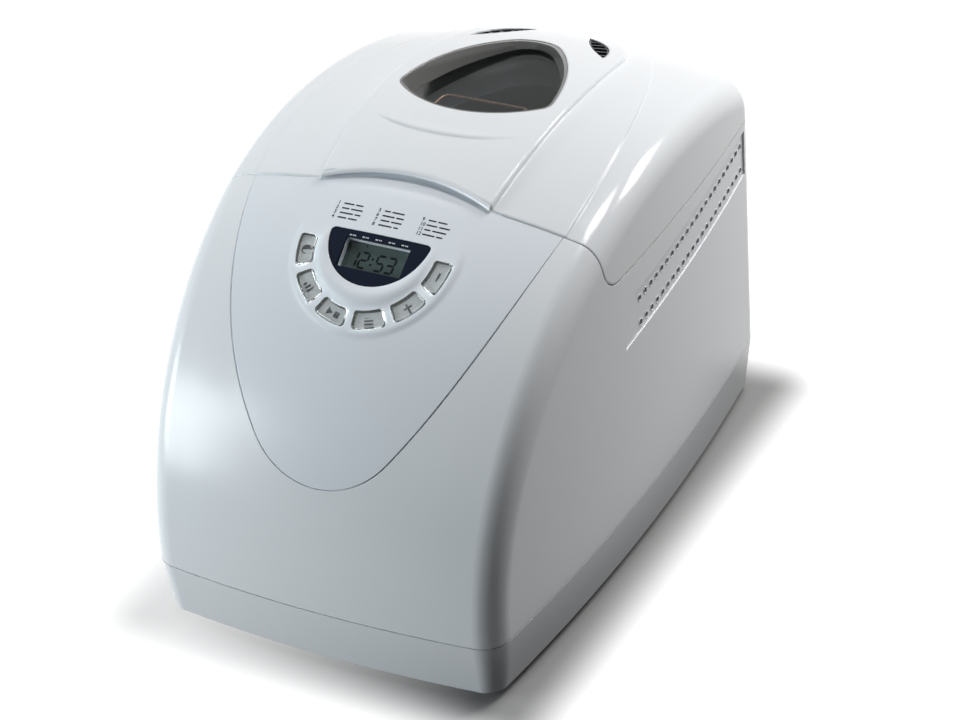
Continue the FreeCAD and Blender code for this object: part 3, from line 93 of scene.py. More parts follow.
class Finish:
    """One material, or the world, and the nodes that make its surface."""

    def __init__(self, name, shelf=bpy.data.materials, shader="Principled BSDF", end="Material Output"):
        self.material = shelf.new(name)
        self.material.use_nodes = True
        self.tree = self.material.node_tree
        self.shader = self.tree.nodes[shader]
        self.end = self.tree.nodes[end]

    def mix(self, share, first, second):
        """Shows one surface, or another where the share is one."""
        mixed = self.node("MixShader", {}, {0: share, 1: first, 2: second})
        self.feed(self.end.inputs["Surface"], mixed)

    def own(self):
        return Wire(self, self.shader.outputs[0])

    def ray(self, kind):
        """One for the light paths of one kind."""
        return self.node("LightPath", out="Is %s Ray" % kind)

    def feed(self, socket, value):
        if isinstance(value, Wire):
            self.tree.links.new(value.socket, socket)
        elif isinstance(value, (tuple, list)) and len(socket.default_value) == 4:
            socket.default_value = (*value[:3], 1.0)
        else:
            socket.default_value = value

    def node(self, kind, settings=None, sockets=None, out=0):
        """Adds one node, sets it up, then fills or links its sockets."""
        item = self.tree.nodes.new("ShaderNode" + kind)
        for key, value in (settings or {}).items():
            setattr(item, key, value)
        for key, value in (sockets or {}).items():
            self.feed(item.inputs[key], value)
        return Wire(self, item.outputs[out])

    def math(self, operation, first, second):
        return self.node("Math", {"operation": operation}, {0: first, 1: second})

    def blend(self, share, first, second):
        """A colour between two colours."""
        return self.node("Mix", {"data_type": "RGBA"}, {0: share, 6: first, 7: second}, out=2)

    def place(self):
        return self.node("TexCoord", out=3)

    def axis(self, name):
        """One of the three Object coordinates."""
        return self.node("SeparateXYZ", {}, {0: self.place()}, out=name)

    def stretched(self, scale):
        """Object coordinates scaled by a different amount along each axis."""
        return self.node("Mapping", {}, {"Vector": self.place(), "Scale": Vector(scale)})

    def noise(self, scale, detail=3.0, vector=None):
        sockets = {"Vector": vector or self.place(), "Scale": scale, "Detail": detail}
        return self.node("TexNoise", {}, sockets)

    def speckle(self, scale):
        return self.node("TexVoronoi", {}, {"Vector": self.place(), "Scale": scale})

    def banded(self, value, low, high):
        """Moves a value from the range 0.3 to 0.7 into another range."""
        return self.node("MapRange", {}, {"Value": value, 1: 0.3, 2: 0.7, 3: low, 4: high})

    def bump(self, height, strength, distance, normal=None):
        sockets = {"Height": height, "Strength": strength, "Distance": distance}
        if normal:
            sockets["Normal"] = normal
        return self.node("Bump", {}, sockets)

    def soft_edge(self, radius):
        return self.node("Bevel", {"samples": 6}, {"Radius": radius})

    def set(self, **sockets):
        """Fills the shader's own sockets, named with underscores for spaces."""
        for key, value in sockets.items():
            self.feed(self.shader.inputs[key.replace("_", " ")], value)
        return self.material


# Finishes

def moulded_plastic(name, colour, shade, rough, edge=0.5 * MM, grain=0.04, shine=0.4):
    """Injection-moulded plastic with a faint flow tone, fine grain and rounded edges."""
    made = Finish(name)
    flow = made.noise(9.0, 2.0)
    grains = made.noise(1400.0, 2.0)
    smudge = made.noise(38.0, 4.0)
    normal = made.bump(grains, grain, 0.05 * MM, made.soft_edge(edge))
    return made.set(Base_Color=made.blend(made.banded(flow, 0.0, 1.0), colour, shade),
                    Roughness=made.banded(smudge, rough - 0.008, rough + 0.012), Normal=normal,
                    Specular_IOR_Level=shine)


def glossy_white(name, rough, edge):
    return moulded_plastic(name, (0.80, 0.825, 0.85), (0.79, 0.817, 0.845), rough, edge)


def panel_white():
    return moulded_plastic("satin_panel_plastic", (0.77, 0.81, 0.855), (0.763, 0.804, 0.85), 0.24)


def navy_display():
    return moulded_plastic("navy_display_plastic", (0.003, 0.008, 0.022), (0.005, 0.011, 0.027), 0.1,
                           0.4 * MM, 0.01, 0.1)


def rim_plastic():
    return moulded_plastic("warm_grey_rim", (0.19, 0.19, 0.184), (0.17, 0.17, 0.166), 0.1, 0.4 * MM,
                           0.02, 0.6)


def vent_plastic():
    return moulded_plastic("dark_vent_plastic", (0.018, 0.024, 0.026), (0.026, 0.033, 0.035), 0.38,
                           0.3 * MM, 0.1)


def lcd_cell():
    """The grey-green liquid-crystal face with its faint dot grid."""
    made = Finish("liquid_crystal_cell")
    grid = made.node("TexChecker", {}, {"Vector": made.place(), "Scale": 1600.0}, out=1)
    tone = made.noise(60.0, 2.0)
    pale = made.blend(made.banded(tone, 0.0, 1.0), (0.05, 0.084, 0.082), (0.062, 0.096, 0.092))
    return made.set(Base_Color=made.blend(grid * 0.08, pale, (0.036, 0.062, 0.06)),
                    Roughness=made.banded(tone, 0.14, 0.2), Specular_IOR_Level=0.25)


def see_through(made, tint):
    """Lets the lamps shine through a clear piece instead of casting its full shadow."""
    made.mix(made.ray("Shadow"), made.own(), made.node("BsdfTransparent", {}, {"Color": tint}))


def clear_acrylic():
    made = Finish("clear_acrylic_cap")
    swirl = made.noise(160.0, 2.0)
    normal = made.bump(swirl, 0.05, 0.1 * MM)
    see_through(made, (0.9, 0.92, 0.92))
    return made.set(Base_Color=(0.93, 0.95, 0.95), Roughness=made.banded(swirl, 0.03, 0.07), Normal=normal,
                    Transmission_Weight=1.0, IOR=1.49)


def key_core():
    return moulded_plastic("grey_key_core", (0.23, 0.242, 0.246), (0.2, 0.21, 0.214), 0.3, 0.3 * MM, 0.02)


def printed_ink(name, colour, worn, shine=0.3):
    """A thin printed layer with slightly uneven cover."""
    made = Finish(name)
    cover = made.noise(800.0, 3.0)
    return made.set(Base_Color=made.blend(made.banded(cover, 0.0, 1.0), colour, worn),
                    Roughness=made.banded(cover, 0.35, 0.5), Specular_IOR_Level=shine)


def smoked_glass():
    made = Finish("smoked_window_glass")
    film = made.noise(45.0, 3.0)
    see_through(made, (0.3, 0.34, 0.345))
    return made.set(Base_Color=(0.3, 0.345, 0.35), Roughness=made.banded(film, 0.01, 0.035),
                    Transmission_Weight=1.0, IOR=1.2)


def black_rubber(name, rough):
    made = Finish(name)
    grains = made.noise(900.0, 4.0)
    dust = made.noise(70.0, 4.0)
    cover = made.banded(dust, 0.0, 0.5)
    return made.set(Base_Color=made.blend(cover, (0.022, 0.022, 0.023), (0.06, 0.06, 0.06)),
                    Roughness=made.banded(dust, rough - 0.06, rough + 0.06),
                    Normal=made.bump(grains, 0.3, 0.1 * MM, made.soft_edge(0.3 * MM)))


def circuit_board():
    """Green solder mask with paler tracks and tinned pads."""
    made = Finish("green_circuit_board")
    tracks = made.node("TexBrick", {}, {"Vector": made.place(), "Scale": 160.0, "Mortar Size": 0.035}, out=1)
    pads = made.speckle(420.0)
    mask = made.blend(tracks, (0.012, 0.095, 0.04), (0.03, 0.17, 0.075))
    pad = 1 - (pads > 0.16)
    return made.set(Base_Color=made.blend(pad, mask, (0.62, 0.62, 0.6)), Roughness=0.5 - 0.2 * pad,
                    Metallic=pad * 0.9)


def brushed_metal(name, colour, rough, along, stains=0.15, metallic=1.0):
    """Metal with a directional grain and faint handling marks."""
    made = Finish(name)
    grain = made.noise(1.0, 3.0, made.stretched(along))
    marks = made.noise(26.0, 5.0)
    dark = tuple(0.72 * part for part in colour)
    tone = made.banded(marks, 0.0, stains)
    return made.set(Base_Color=made.blend(tone, colour, dark), Metallic=metallic,
                    Roughness=made.banded(grain, rough - 0.04, rough + 0.06),
                    Normal=made.bump(grain, 0.06, 0.04 * MM, made.soft_edge(0.3 * MM)))


def nonstick_coating():
    """Dark baked coating with fine pale flecks."""
    made = Finish("nonstick_coating")
    flecks = made.speckle(900.0)
    tone = made.noise(24.0, 4.0)
    dark = made.blend(made.banded(tone, 0.0, 1.0), (0.085, 0.086, 0.088), (0.11, 0.111, 0.113))
    fleck = 1 - (flecks > 0.2)
    return made.set(Base_Color=made.blend(fleck * 0.5, dark, (0.32, 0.32, 0.32)),
                    Roughness=made.banded(tone, 0.34, 0.46),
                    Normal=made.bump(made.noise(700.0), 0.08, 0.1 * MM, made.soft_edge(0.5 * MM)))


def heated_sheath():
    """The element's tube, straw and copper coloured from use."""
    made = Finish("heated_copper_sheath")
    heat = made.noise(30.0, 3.0)
    tone = made.banded(heat, 0.0, 1.0)
    return made.set(Base_Color=made.blend(tone, (0.46, 0.27, 0.16), (0.27, 0.17, 0.13)),
                    Metallic=1.0, Roughness=made.banded(heat, 0.28, 0.44),
                    Normal=made.bump(made.noise(900.0), 0.1, 0.1 * MM))


def bright_copper():
    """Drawn copper wire with a soft tarnish."""
    made = Finish("drawn_copper_wire")
    tarnish = made.noise(120.0, 3.0)
    tone = made.banded(tarnish, 0.0, 1.0)
    return made.set(Base_Color=made.blend(tone, (0.98, 0.52, 0.36), (0.85, 0.4, 0.26)),
                    Metallic=1.0, Roughness=made.banded(tarnish, 0.24, 0.36),
                    Normal=made.bump(made.noise(1200.0), 0.08, 0.05 * MM))


def glazed_ceramic():
    made = Finish("glazed_ceramic")
    tone = made.noise(220.0, 3.0)
    return made.set(Base_Color=made.blend(made.banded(tone, 0.0, 1.0), (0.74, 0.7, 0.62), (0.66, 0.62, 0.54)),
                    Roughness=made.banded(tone, 0.22, 0.38), Normal=made.soft_edge(0.4 * MM))


def slot_finishes():
    """One material for each of the record's slots."""
    ground, drawn, spun = (900.0, 40.0, 900.0), (40.0, 40.0, 1200.0), (60.0, 60.0, 1500.0)
    plated, sintered = (300.0, 300.0, 300.0), (500.0, 500.0, 500.0)
    return {"white_gloss": glossy_white("glossy_white_plastic", 0.23, 0.5 * MM), "panel_white": panel_white(),
            "navy_gloss": navy_display(), "lcd": lcd_cell(), "silver_button": clear_acrylic(),
            "rim_grey": rim_plastic(), "dark_plastic": vent_plastic(), "smoked_glass": smoked_glass(),
            "rubber": black_rubber("foot_rubber", 0.72), "board": circuit_board(),
            "steel": brushed_metal("zinc_plated_steel", (0.60, 0.60, 0.58), 0.34, plated),
            "aluminium": brushed_metal("drawn_aluminium", (0.70, 0.70, 0.69), 0.42, drawn, 0.1, 0.7),
            "nonstick": nonstick_coating(), "copper_sheath": heated_sheath(), "ceramic": glazed_ceramic(),
            "brass": brushed_metal("sintered_bronze", (0.66, 0.48, 0.24), 0.36, sintered),
            "bright_steel": brushed_metal("ground_steel", (0.74, 0.74, 0.73), 0.2, ground),
            "belt_rubber": black_rubber("belt_rubber", 0.6),
            "motor_steel": brushed_metal("motor_can_steel", (0.52, 0.53, 0.53), 0.32, spun)}


def dress_nodes(finishes):
    for part in frame["record"]["subparts"]:
        skin = NODES[part["node"]]
        skin.data.materials.clear()
        skin.data.materials.append(finishes[part["material_slot"]])
    NODES["glass_clip"].data.materials[0] = bright_copper()


# The outer form, in millimetres

HALF_WIDTH, SIDE_BOW, BACK_Y = 129.0, 11.7, 192.5
APEX_Y, SEAM_Z = 51.2, 42.0
FRONT_REACH, FRONT_CROWN = 243.7, 8.7
TOP_RISE, TOP_CROWN = 228.5, 15.6
HOOD_RISE = 3.5


def skin_height(x, y, rise=0.0):
    """Height of the body's front half over a place in plan."""
    crown = (x / HALF_WIDTH) ** 2
    share = (APEX_Y - y) / (FRONT_REACH + rise - FRONT_CROWN * crown)
    return SEAM_Z + (TOP_RISE + rise - TOP_CROWN * crown) * math.sqrt(1 - share ** 2)


def skin_front(x, z):
    """How far back the body's front lies at a width and height."""
    crown = (x / HALF_WIDTH) ** 2
    share = (z - SEAM_Z) / (TOP_RISE - TOP_CROWN * crown)
    return APEX_Y - (FRONT_REACH - FRONT_CROWN * crown) * math.sqrt(1 - share ** 2)


# The tilted frame of the controls

CONTROL_TILT, CONTROL_Y = math.radians(38.0), -95.0
CONTROL = Vector((0.0, CONTROL_Y, skin_height(0.0, CONTROL_Y)))
CONTROL_UP = Vector((0.0, math.cos(CONTROL_TILT), math.sin(CONTROL_TILT)))
CONTROL_OUT = Vector((0.0, -math.sin(CONTROL_TILT), math.cos(CONTROL_TILT)))
RING_V, RING_IN, RING_OUT = 12.7, 39.5, 50.5
KEY_HALF, KEY_STEP, KEY_CORNER, KEY_GAP = math.radians(12.5), 31.5, 2.0, 0.4
DISPLAY_RADIUS, DISPLAY_V, DISPLAY_CORNER, DISPLAY_GAP = 33.5, 22.0, 3.0, 0.2
LCD_WIDTH, LCD_HEIGHT, LCD_V, LCD_SINK = 43.0, 19.0, 7.5, 6.0
HUNT_STEPS, HUNT_PACE = 12, 0.75


def control_point(u, v, w):
    return CONTROL + Vector((u, 0, 0)) + CONTROL_UP * v + CONTROL_OUT * w


def skin_lift(u, v):
    """Distance of the plain skin from the controls' plane."""
    w = 0.0
    for _ in range(HUNT_STEPS):
        spot = control_point(u, v, w)
        w -= HUNT_PACE * (spot.z - skin_height(spot.x, spot.y))
    return w


def arc_points(centre, radius, start, end, count):
    """Points along an arc, given as angles in radians."""
    turns = [start + (end - start) * i / (count - 1) for i in range(count)]
    return [Vector((centre[0] + radius * math.cos(t), centre[1] + radius * math.sin(t))) for t in turns]


def key_angle(index):
    return math.radians(-90.0 + KEY_STEP * (index - 2.5))


def key_outline(index, grow=0.0):
    """One rounded sector of the button ring."""
    middle, corner = key_angle(index), KEY_CORNER + grow
    inner, outer = RING_IN - grow, RING_OUT + grow
    half = KEY_HALF + 2 * grow / (RING_IN + RING_OUT)
    quarter = math.pi / 2
    points = []
    for radius, edge, side, start in ((outer - corner, outer, 1, 0), (inner + corner, inner, 1, 1),
                                      (inner + corner, inner, -1, 2), (outer - corner, outer, -1, 3)):
        turn = middle + side * (half - math.asin(corner / radius))
        centre = (radius * math.cos(turn), RING_V + radius * math.sin(turn))
        points += arc_points(centre, corner, turn + start * quarter, turn + (start + 1) * quarter, 6)
        if start in (1, 3):
            points += arc_points((0.0, RING_V), edge, turn, 2 * middle - turn, 9)[1:-1]
    return points


def display_outline(grow=0.0):
    """The half disc of the display with its two rounded corners."""
    radius, corner, top = DISPLAY_RADIUS + grow, DISPLAY_CORNER + grow, DISPLAY_V + grow
    drop = top - corner - DISPLAY_V
    across = math.sqrt((radius - corner) ** 2 - drop ** 2)
    lean = math.atan2(drop, across)
    points = arc_points((across, top - corner), corner, lean, math.pi / 2, 7)
    points += arc_points((-across, top - corner), corner, math.pi / 2, math.pi - lean, 7)
    return points + arc_points((0.0, DISPLAY_V), radius, math.pi - lean, 2 * math.pi + lean, 48)[1:-1]


# Building pieces

JOIN_GAP, PLAIN_EDGE, ROUND_EDGE = 0.001, 32.0, 60.0


def new_piece(name, builder, *materials):
    """Turns a bmesh in millimetres into an object in metres."""
    bmesh.ops.scale(builder, vec=(MM, MM, MM), verts=builder.verts)
    mesh = bpy.data.meshes.new(name)
    builder.to_mesh(mesh)
    builder.free()
    for material in materials:
        mesh.materials.append(material)
    piece = bpy.data.objects.new(name, mesh)
    bpy.context.scene.collection.objects.link(piece)
    return piece


def applied(piece):
    """Turns the piece and its modifiers into one plain mesh."""
    depsgraph = bpy.context.evaluated_depsgraph_get()
    mesh = bpy.data.meshes.new_from_object(piece.evaluated_get(depsgraph))
    piece.modifiers.clear()
    piece.data = mesh
    return mesh


def settled(piece, sharp=PLAIN_EDGE):
    """Applies the piece's modifiers and smooths all but its sharp edges."""
    mesh = applied(piece)
    mesh.shade_smooth()
    mesh.set_sharp_from_angle(angle=math.radians(sharp))
    return piece


def place(piece, body, slot, *nodes):
    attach(piece, body)
    if nodes:
        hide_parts(*nodes)


def add_loops(builder, loops, material=0):
    """Joins closed loops of points into a capped solid."""
    rings = [[builder.verts.new(point) for point in loop] for loop in loops]
    faces = [builder.faces.new(list(reversed(rings[0]))), builder.faces.new(rings[-1])]
    for low, high in zip(rings, rings[1:]):
        for i, corner in enumerate(low):
            j = (i + 1) % len(low)
            faces.append(builder.faces.new((corner, low[j], high[j], high[i])))
    for face in faces:
        face.material_index = material


def add_strip(builder, rows):
    """Joins rows of section points into one closed bar."""
    for left, right in zip(rows, rows[1:]):
        for j in range(len(left)):
            k = (j + 1) % len(left)
            builder.faces.new((left[j], right[j], right[k], left[k]))
    builder.faces.new(rows[0])
    builder.faces.new(list(reversed(rows[-1])))
    bmesh.ops.recalc_face_normals(builder, faces=builder.faces)


def add_print(builder, outline, spot, material=0):
    """Adds one flat printed shape; spot turns each flat point into a place in space."""
    face = builder.faces.new([builder.verts.new(spot(point)) for point in outline])
    face.material_index = material


# Control panel

PANEL_HALF, PANEL_REAR, PANEL_WALL = 104.2, -46.6, 2.6
TIP_Z, TIP_RADIUS, TIP_TURN = 121.8, 57.7, math.radians(50.0)
TIP_SHARE, SIDE_BULGE = 0.3, 4.5
PANEL_ROWS, PANEL_COLUMNS = 150, 130
FIELD_RADIUS, FIELD_EDGE, FIELD_RISE, FIELD_TOP = 53.0, 3.0, 0.9, (34.0, 8.0)
COLLAR_RADIUS, COLLAR_WIDTH, COLLAR_RISE = 38.0, 12.0, 1.7
COLLAR_TOP = (DISPLAY_V + 1.0, DISPLAY_V - 7.0)
LIP_HALF, LIP_Y, LIP_BEND, LIP_COVER = 57.0, -37.7, 0.00302, 4.2
SCOOP_Y, SCOOP_DEPTH, SCOOP_GAP, SCOOP_REAR = -48.5, 1.5, 2.6, 0.82
CUT_DEPTHS = (-15.0, 10.0)


def smooth_step(low, high, value):
    share = min(max((value - low) / (high - low), 0.0), 1.0)
    return share * share * (3 - 2 * share)


def lip_edge(x):
    """How far back the arched front edge of the lid's lip lies."""
    return LIP_Y - LIP_BEND * x * x


def panel_rear(x):
    """The panel's rear edge, with the tongue that runs in under the lip."""
    return max(PANEL_REAR, lip_edge(x) + LIP_COVER)


def panel_edge(share):
    """Half width and height of the panel's outline from its tip (0) to its top corner (1)."""
    if share < TIP_SHARE:
        turn = TIP_TURN * share / TIP_SHARE
        return TIP_RADIUS * math.sin(turn), TIP_Z + TIP_RADIUS * (1 - math.cos(turn))
    along = (share - TIP_SHARE) / (1 - TIP_SHARE)
    low = Vector((TIP_RADIUS * math.sin(TIP_TURN), TIP_Z + TIP_RADIUS * (1 - math.cos(TIP_TURN))))
    run = Vector((PANEL_HALF, skin_height(PANEL_HALF, PANEL_REAR))) - low
    out = Vector((run.y, -run.x)).normalized()
    spot = low + run * along + out * (4 * SIDE_BULGE * along * (1 - along))
    return spot.x, spot.y


def key_field(u, v):
    """The low raised field under the buttons, fading out upwards."""
    rise = smooth_step(FIELD_RADIUS + FIELD_EDGE, FIELD_RADIUS, math.hypot(u, v - RING_V))
    return FIELD_RISE * rise * smooth_step(*FIELD_TOP, v)


def display_collar(u, v):
    """The rounded ridge between the display and the buttons."""
    inside = math.hypot(u, v - DISPLAY_V) - DISPLAY_RADIUS
    outside = COLLAR_RADIUS - math.hypot(u, v - RING_V)
    if inside <= 0 or outside <= 0:
        return 0.0
    width = inside + outside
    swell = math.sin(math.pi * inside / width) * min(1.0, width / COLLAR_WIDTH)
    return COLLAR_RISE * swell * smooth_step(*COLLAR_TOP, v)


def scoop(point):
    """Depth of the finger scoop under the lid's lip."""
    across = max(1 - (point.x / LIP_HALF) ** 2, 0.0)
    run = max(lip_edge(point.x) - SCOOP_Y, 1.0)
    share = min(max((point.y - SCOOP_Y) / run, 0.0), 1.0)
    drop = SCOOP_GAP * smooth_step(SCOOP_REAR, 1.0, share)
    return across * (SCOOP_DEPTH * math.sin(math.pi * share) + drop)


def panel_point(row, column):
    share = row / PANEL_ROWS
    half, edge = panel_edge(share)
    x = half * (2 * column / PANEL_COLUMNS - 1)
    arch = skin_height(x, panel_rear(x)) - skin_height(PANEL_HALF, PANEL_REAR)
    z = edge + arch * share ** 3
    point = Vector((x, panel_rear(x) if row == PANEL_ROWS else skin_front(x, z), z))
    v = (point - CONTROL).dot(CONTROL_UP)
    return point + CONTROL_OUT * (key_field(x, v) + display_collar(x, v)) - Vector((0, 0, scoop(point)))


def panel_cutter():
    """Through holes for the display and the six buttons."""
    builder = bmesh.new()
    outlines = [display_outline(DISPLAY_GAP)] + [key_outline(i, KEY_GAP) for i in range(6)]
    for outline in outlines:
        add_loops(builder, [[control_point(p.x, p.y, w) for p in outline] for w in CUT_DEPTHS])
    return new_piece("panel_cutter", builder)


def make_panel(material):
    builder = bmesh.new()
    grid = [[builder.verts.new(panel_point(i, j)) for j in range(PANEL_COLUMNS + 1)]
            for i in range(PANEL_ROWS + 1)]
    for low, high in zip(grid, grid[1:]):
        for j in range(PANEL_COLUMNS):
            builder.faces.new((low[j], low[j + 1], high[j + 1], high[j]))
    bmesh.ops.remove_doubles(builder, verts=builder.verts, dist=JOIN_GAP)
    panel = new_piece("control_panel", builder, material)
    wall = panel.modifiers.new("wall", "SOLIDIFY")
    wall.thickness, wall.offset = PANEL_WALL * MM, -1.0
    cutter = panel_cutter()
    holes = panel.modifiers.new("holes", "BOOLEAN")
    holes.object, holes.solver = cutter, "EXACT"
    settled(panel)
    bpy.data.objects.remove(cutter)
    place(panel, "machine", "panel_white", "front_panel")
    return panel


# Lid

LIP_STEPS, LIP_FOOT, LIP_JOIN, LIP_WALL, LIP_ROOF = 60, 221.0, 2.2, (5.0, 7.0), 1.5
NOTCH_FRONT, NOTCH_HEIGHTS, NOTCH_SIDE = -60.0, (210.0, 280.0), 3.0
SAME_PLACE, CORNER_PULL = 0.05 * MM, 0.02
LIP_PROFILE = ((3.2, 3.2), (LIP_JOIN, HOOD_RISE), (1.2, 3.42), (0.45, 3.1), (0.05, 2.4), (0.0, 1.8),
               (0.25, 1.2), (0.9, 0.85), (LIP_WALL[0], 0.85))


def lid_cutter():
    """The space in front of the arched lip."""
    builder = bmesh.new()
    xs = [LIP_HALF * (2 * i / LIP_STEPS - 1) for i in range(LIP_STEPS + 1)]
    reach = LIP_HALF + NOTCH_SIDE
    plan = [(-reach, NOTCH_FRONT), (reach, NOTCH_FRONT), (reach, PANEL_REAR)]
    plan += [(x, lip_edge(x) + LIP_JOIN) for x in reversed(xs)] + [(-reach, PANEL_REAR)]
    add_loops(builder, [[(x, y, z) for x, y in plan] for z in NOTCH_HEIGHTS])
    return new_piece("lid_cutter", builder)


def copy_shading(mesh, source):
    """Gives each corner of a cut mesh the normal that its source has at that place."""
    tree = BVHTree.FromPolygons([v.co for v in source.vertices], [p.vertices for p in source.polygons])
    normals = []
    for face in mesh.polygons:
        for index in face.vertices:
            spot = mesh.vertices[index].co.lerp(face.center, CORNER_PULL)
            _, _, home, gap = tree.find_nearest(spot)
            if gap > SAME_PLACE:
                normals.append(face.normal.copy())
                continue
            polygon = source.polygons[home]
            weights = poly_3d_calc([source.vertices[v].co for v in polygon.vertices], spot)
            corners = [source.corner_normals[i].vector * w for i, w in zip(polygon.loop_indices, weights)]
            normals.append(sum(corners, Vector()).normalized())
    mesh.shade_smooth()
    mesh.normals_split_custom_set(normals)


def merged_copy(mesh):
    """A copy of a solid's loose triangles with their shared corners joined."""
    joined = mesh.copy()
    builder = bmesh.new()
    builder.from_mesh(joined)
    bmesh.ops.remove_doubles(builder, verts=builder.verts, dist=JOIN_GAP * MM)
    builder.to_mesh(joined)
    builder.free()
    return joined


def make_lid_skin(material):
    """The lid's shell, cut back to the arch of its lip."""
    node = NODES["lid_shell"]
    skin = bpy.data.objects.new("lid_skin", merged_copy(node.data))
    bpy.context.scene.collection.objects.link(skin)
    cutter = lid_cutter()
    notch = skin.modifiers.new("notch", "BOOLEAN")
    notch.object, notch.solver = cutter, "EXACT"
    mesh = applied(skin)
    copy_shading(mesh, node.data)
    mesh.materials.clear()
    mesh.materials.append(material)
    bpy.data.objects.remove(cutter)
    place(skin, "lid", "white_gloss", "lid_shell")


def make_lid_lip(material):
    """The rounded lip and the wall behind it that closes the lid's front."""
    builder = bmesh.new()
    rows = []
    for i in range(LIP_STEPS + 1):
        x = LIP_HALF * (2 * i / LIP_STEPS - 1)
        y = lip_edge(x)
        row = [(x, y + back, skin_height(x, y + back) + rise) for back, rise in LIP_PROFILE]
        row += [(x, y + back, LIP_FOOT) for back in LIP_WALL]
        row.append((x, y + LIP_WALL[1], skin_height(x, y + LIP_WALL[1]) + LIP_ROOF))
        rows.append([builder.verts.new(point) for point in row])
    add_strip(builder, rows)
    place(settled(new_piece("lid_lip", builder, material)), "lid", "white_gloss")


# Buttons

CAP_LOOPS = ((0.0, -1.4), (0.0, 2.2), (0.25, 2.7), (0.7, 3.0), (1.3, 3.1))
CORE_TOP, CORE_DEPTH, CORE_INSET, SYMBOL_SCALE, SYMBOL_LIFT = -1.6, 3.0, 1.0, 1.3, 0.08


def bar_outline(x, y, width, height):
    corners = ((-1, -1), (1, -1), (1, 1), (-1, 1))
    return [Vector((x + sx * width / 2, y + sy * height / 2)) for sx, sy in corners]


def ring_outlines(radius, thickness, count=24):
    """A thin ring as a row of four-sided patches."""
    outer = arc_points((0, 0), radius, 0.0, 2 * math.pi, count + 1)
    inner = arc_points((0, 0), radius - thickness, 0.0, 2 * math.pi, count + 1)
    return [(outer[i], outer[i + 1], inner[i + 1], inner[i]) for i in range(count)]


def key_symbols():
    """A plain sign for each button: shade, size, start and stop, list, more, less."""
    quarter = math.pi / 2
    shade = ring_outlines(2.2, 0.45) + [arc_points((0, 0), 2.2, quarter, 3 * quarter, 16)]
    size = [bar_outline(x, -2 + tall / 2, 1.1, tall) for x, tall in ((-1.9, 1.6), (0, 2.8), (1.9, 4.0))]
    start = [[Vector((-3.0, -1.9)), Vector((0.2, 0)), Vector((-3.0, 1.9))], bar_outline(2.4, 0, 2.8, 2.8)]
    rows = [bar_outline(0, y, 4.4, 0.75) for y in (-1.6, 0, 1.6)]
    more = [bar_outline(0, 0, 4.2, 0.9), bar_outline(0, 1.27, 0.9, 1.64), bar_outline(0, -1.27, 0.9, 1.64)]
    less = [bar_outline(0, 0, 4.2, 0.9)]
    return [shade, size, start, rows, more, less]


def make_key(index, symbol, materials):
    """A clear cap over a grey core that carries the printed sign."""
    builder = bmesh.new()

    def lifted(outline, w):
        return [control_point(p.x, p.y, skin_lift(p.x, p.y) + w) for p in outline]

    add_loops(builder, [lifted(key_outline(index, -inset), w) for inset, w in CAP_LOOPS])
    core = key_outline(index, -CORE_INSET)
    add_loops(builder, [lifted(core, CORE_TOP - CORE_DEPTH), lifted(core, CORE_TOP)], 1)
    middle = (RING_IN + RING_OUT) / 2
    turn = key_angle(index)
    centre = Vector((middle * math.cos(turn), RING_V + middle * math.sin(turn)))
    level = skin_lift(*centre) + CORE_TOP + SYMBOL_LIFT
    across, up = Vector((-math.sin(turn), math.cos(turn))), Vector((-math.cos(turn), -math.sin(turn)))

    def on_core(point):
        spot = centre + (across * point.x + up * point.y) * SYMBOL_SCALE
        return control_point(spot.x, spot.y, level)

    for outline in symbol:
        add_print(builder, outline, on_core, 2)
    key = settled(new_piece("key_cap_%d" % (index + 1), builder, *materials))
    place(key, "key_%d" % (index + 1), "silver_button", "button_%d" % (index + 1))


def make_keys(cap, core, ink):
    for index, symbol in enumerate(key_symbols()):
        make_key(index, symbol, (cap, core, ink))


# Display

DIGIT_WIDTH, DIGIT_HEIGHT, STROKE, SLANT, SEGMENT_GAP = 5.0, 9.6, 1.4, 0.1, 0.2
CLOCK_V, CLOCK_W = LCD_V - 1.5, 0.06 - LCD_SINK
DIGITS = {"1": "bc", "2": "abged", "3": "abgcd", "5": "afgcd"}
CLOCK, COLON_X, COLON_Y = (("1", -15.0), ("2", -8.0), ("5", 3.0), ("3", 10.0)), -2.5, (-1.8, 1.8)
POINTER = ((-9.5, 8.0), (-8.7, 9.3), (-10.3, 9.3))
SLEEVE_FOOT, SLEEVE_TOP, SLEEVE_OUTER, SLEEVE_INNER = 0.1 - LCD_SINK, -2.6, 0.1, 0.9
MARK_COLUMNS, MARK_V, MARK_LIFT = (-18.0, -9.2, -0.4, 8.4, 17.0), 18.6, 0.36
MARK_DASHES, MARK_HEIGHT = ((-1.4, 1.7), (0.5, 0.8), (1.6, 0.8)), 0.75


def segment_outlines():
    """The seven bars of a digit, by letter, each with pointed ends."""
    w, h, s = DIGIT_WIDTH / 2, DIGIT_HEIGHT / 2, STROKE / 2
    level = {"a": (0, h), "g": (0, 0), "d": (0, -h)}
    upright = {"b": (w, h / 2), "c": (w, -h / 2), "e": (-w, -h / 2), "f": (-w, h / 2)}
    bars = {}
    for name, (x, y) in level.items():
        r = w - SEGMENT_GAP
        ends = ((-r, 0), (s - r, -s), (r - s, -s), (r, 0), (r - s, s), (s - r, s))
        bars[name] = [Vector((x + a, y + b)) for a, b in ends]
    for name, (x, y) in upright.items():
        r = h / 2 - SEGMENT_GAP
        ends = ((0, -r), (s, -r + s), (s, r - s), (0, r), (-s, r - s), (-s, -r + s))
        bars[name] = [Vector((x + a, y + b)) for a, b in ends]
    return bars


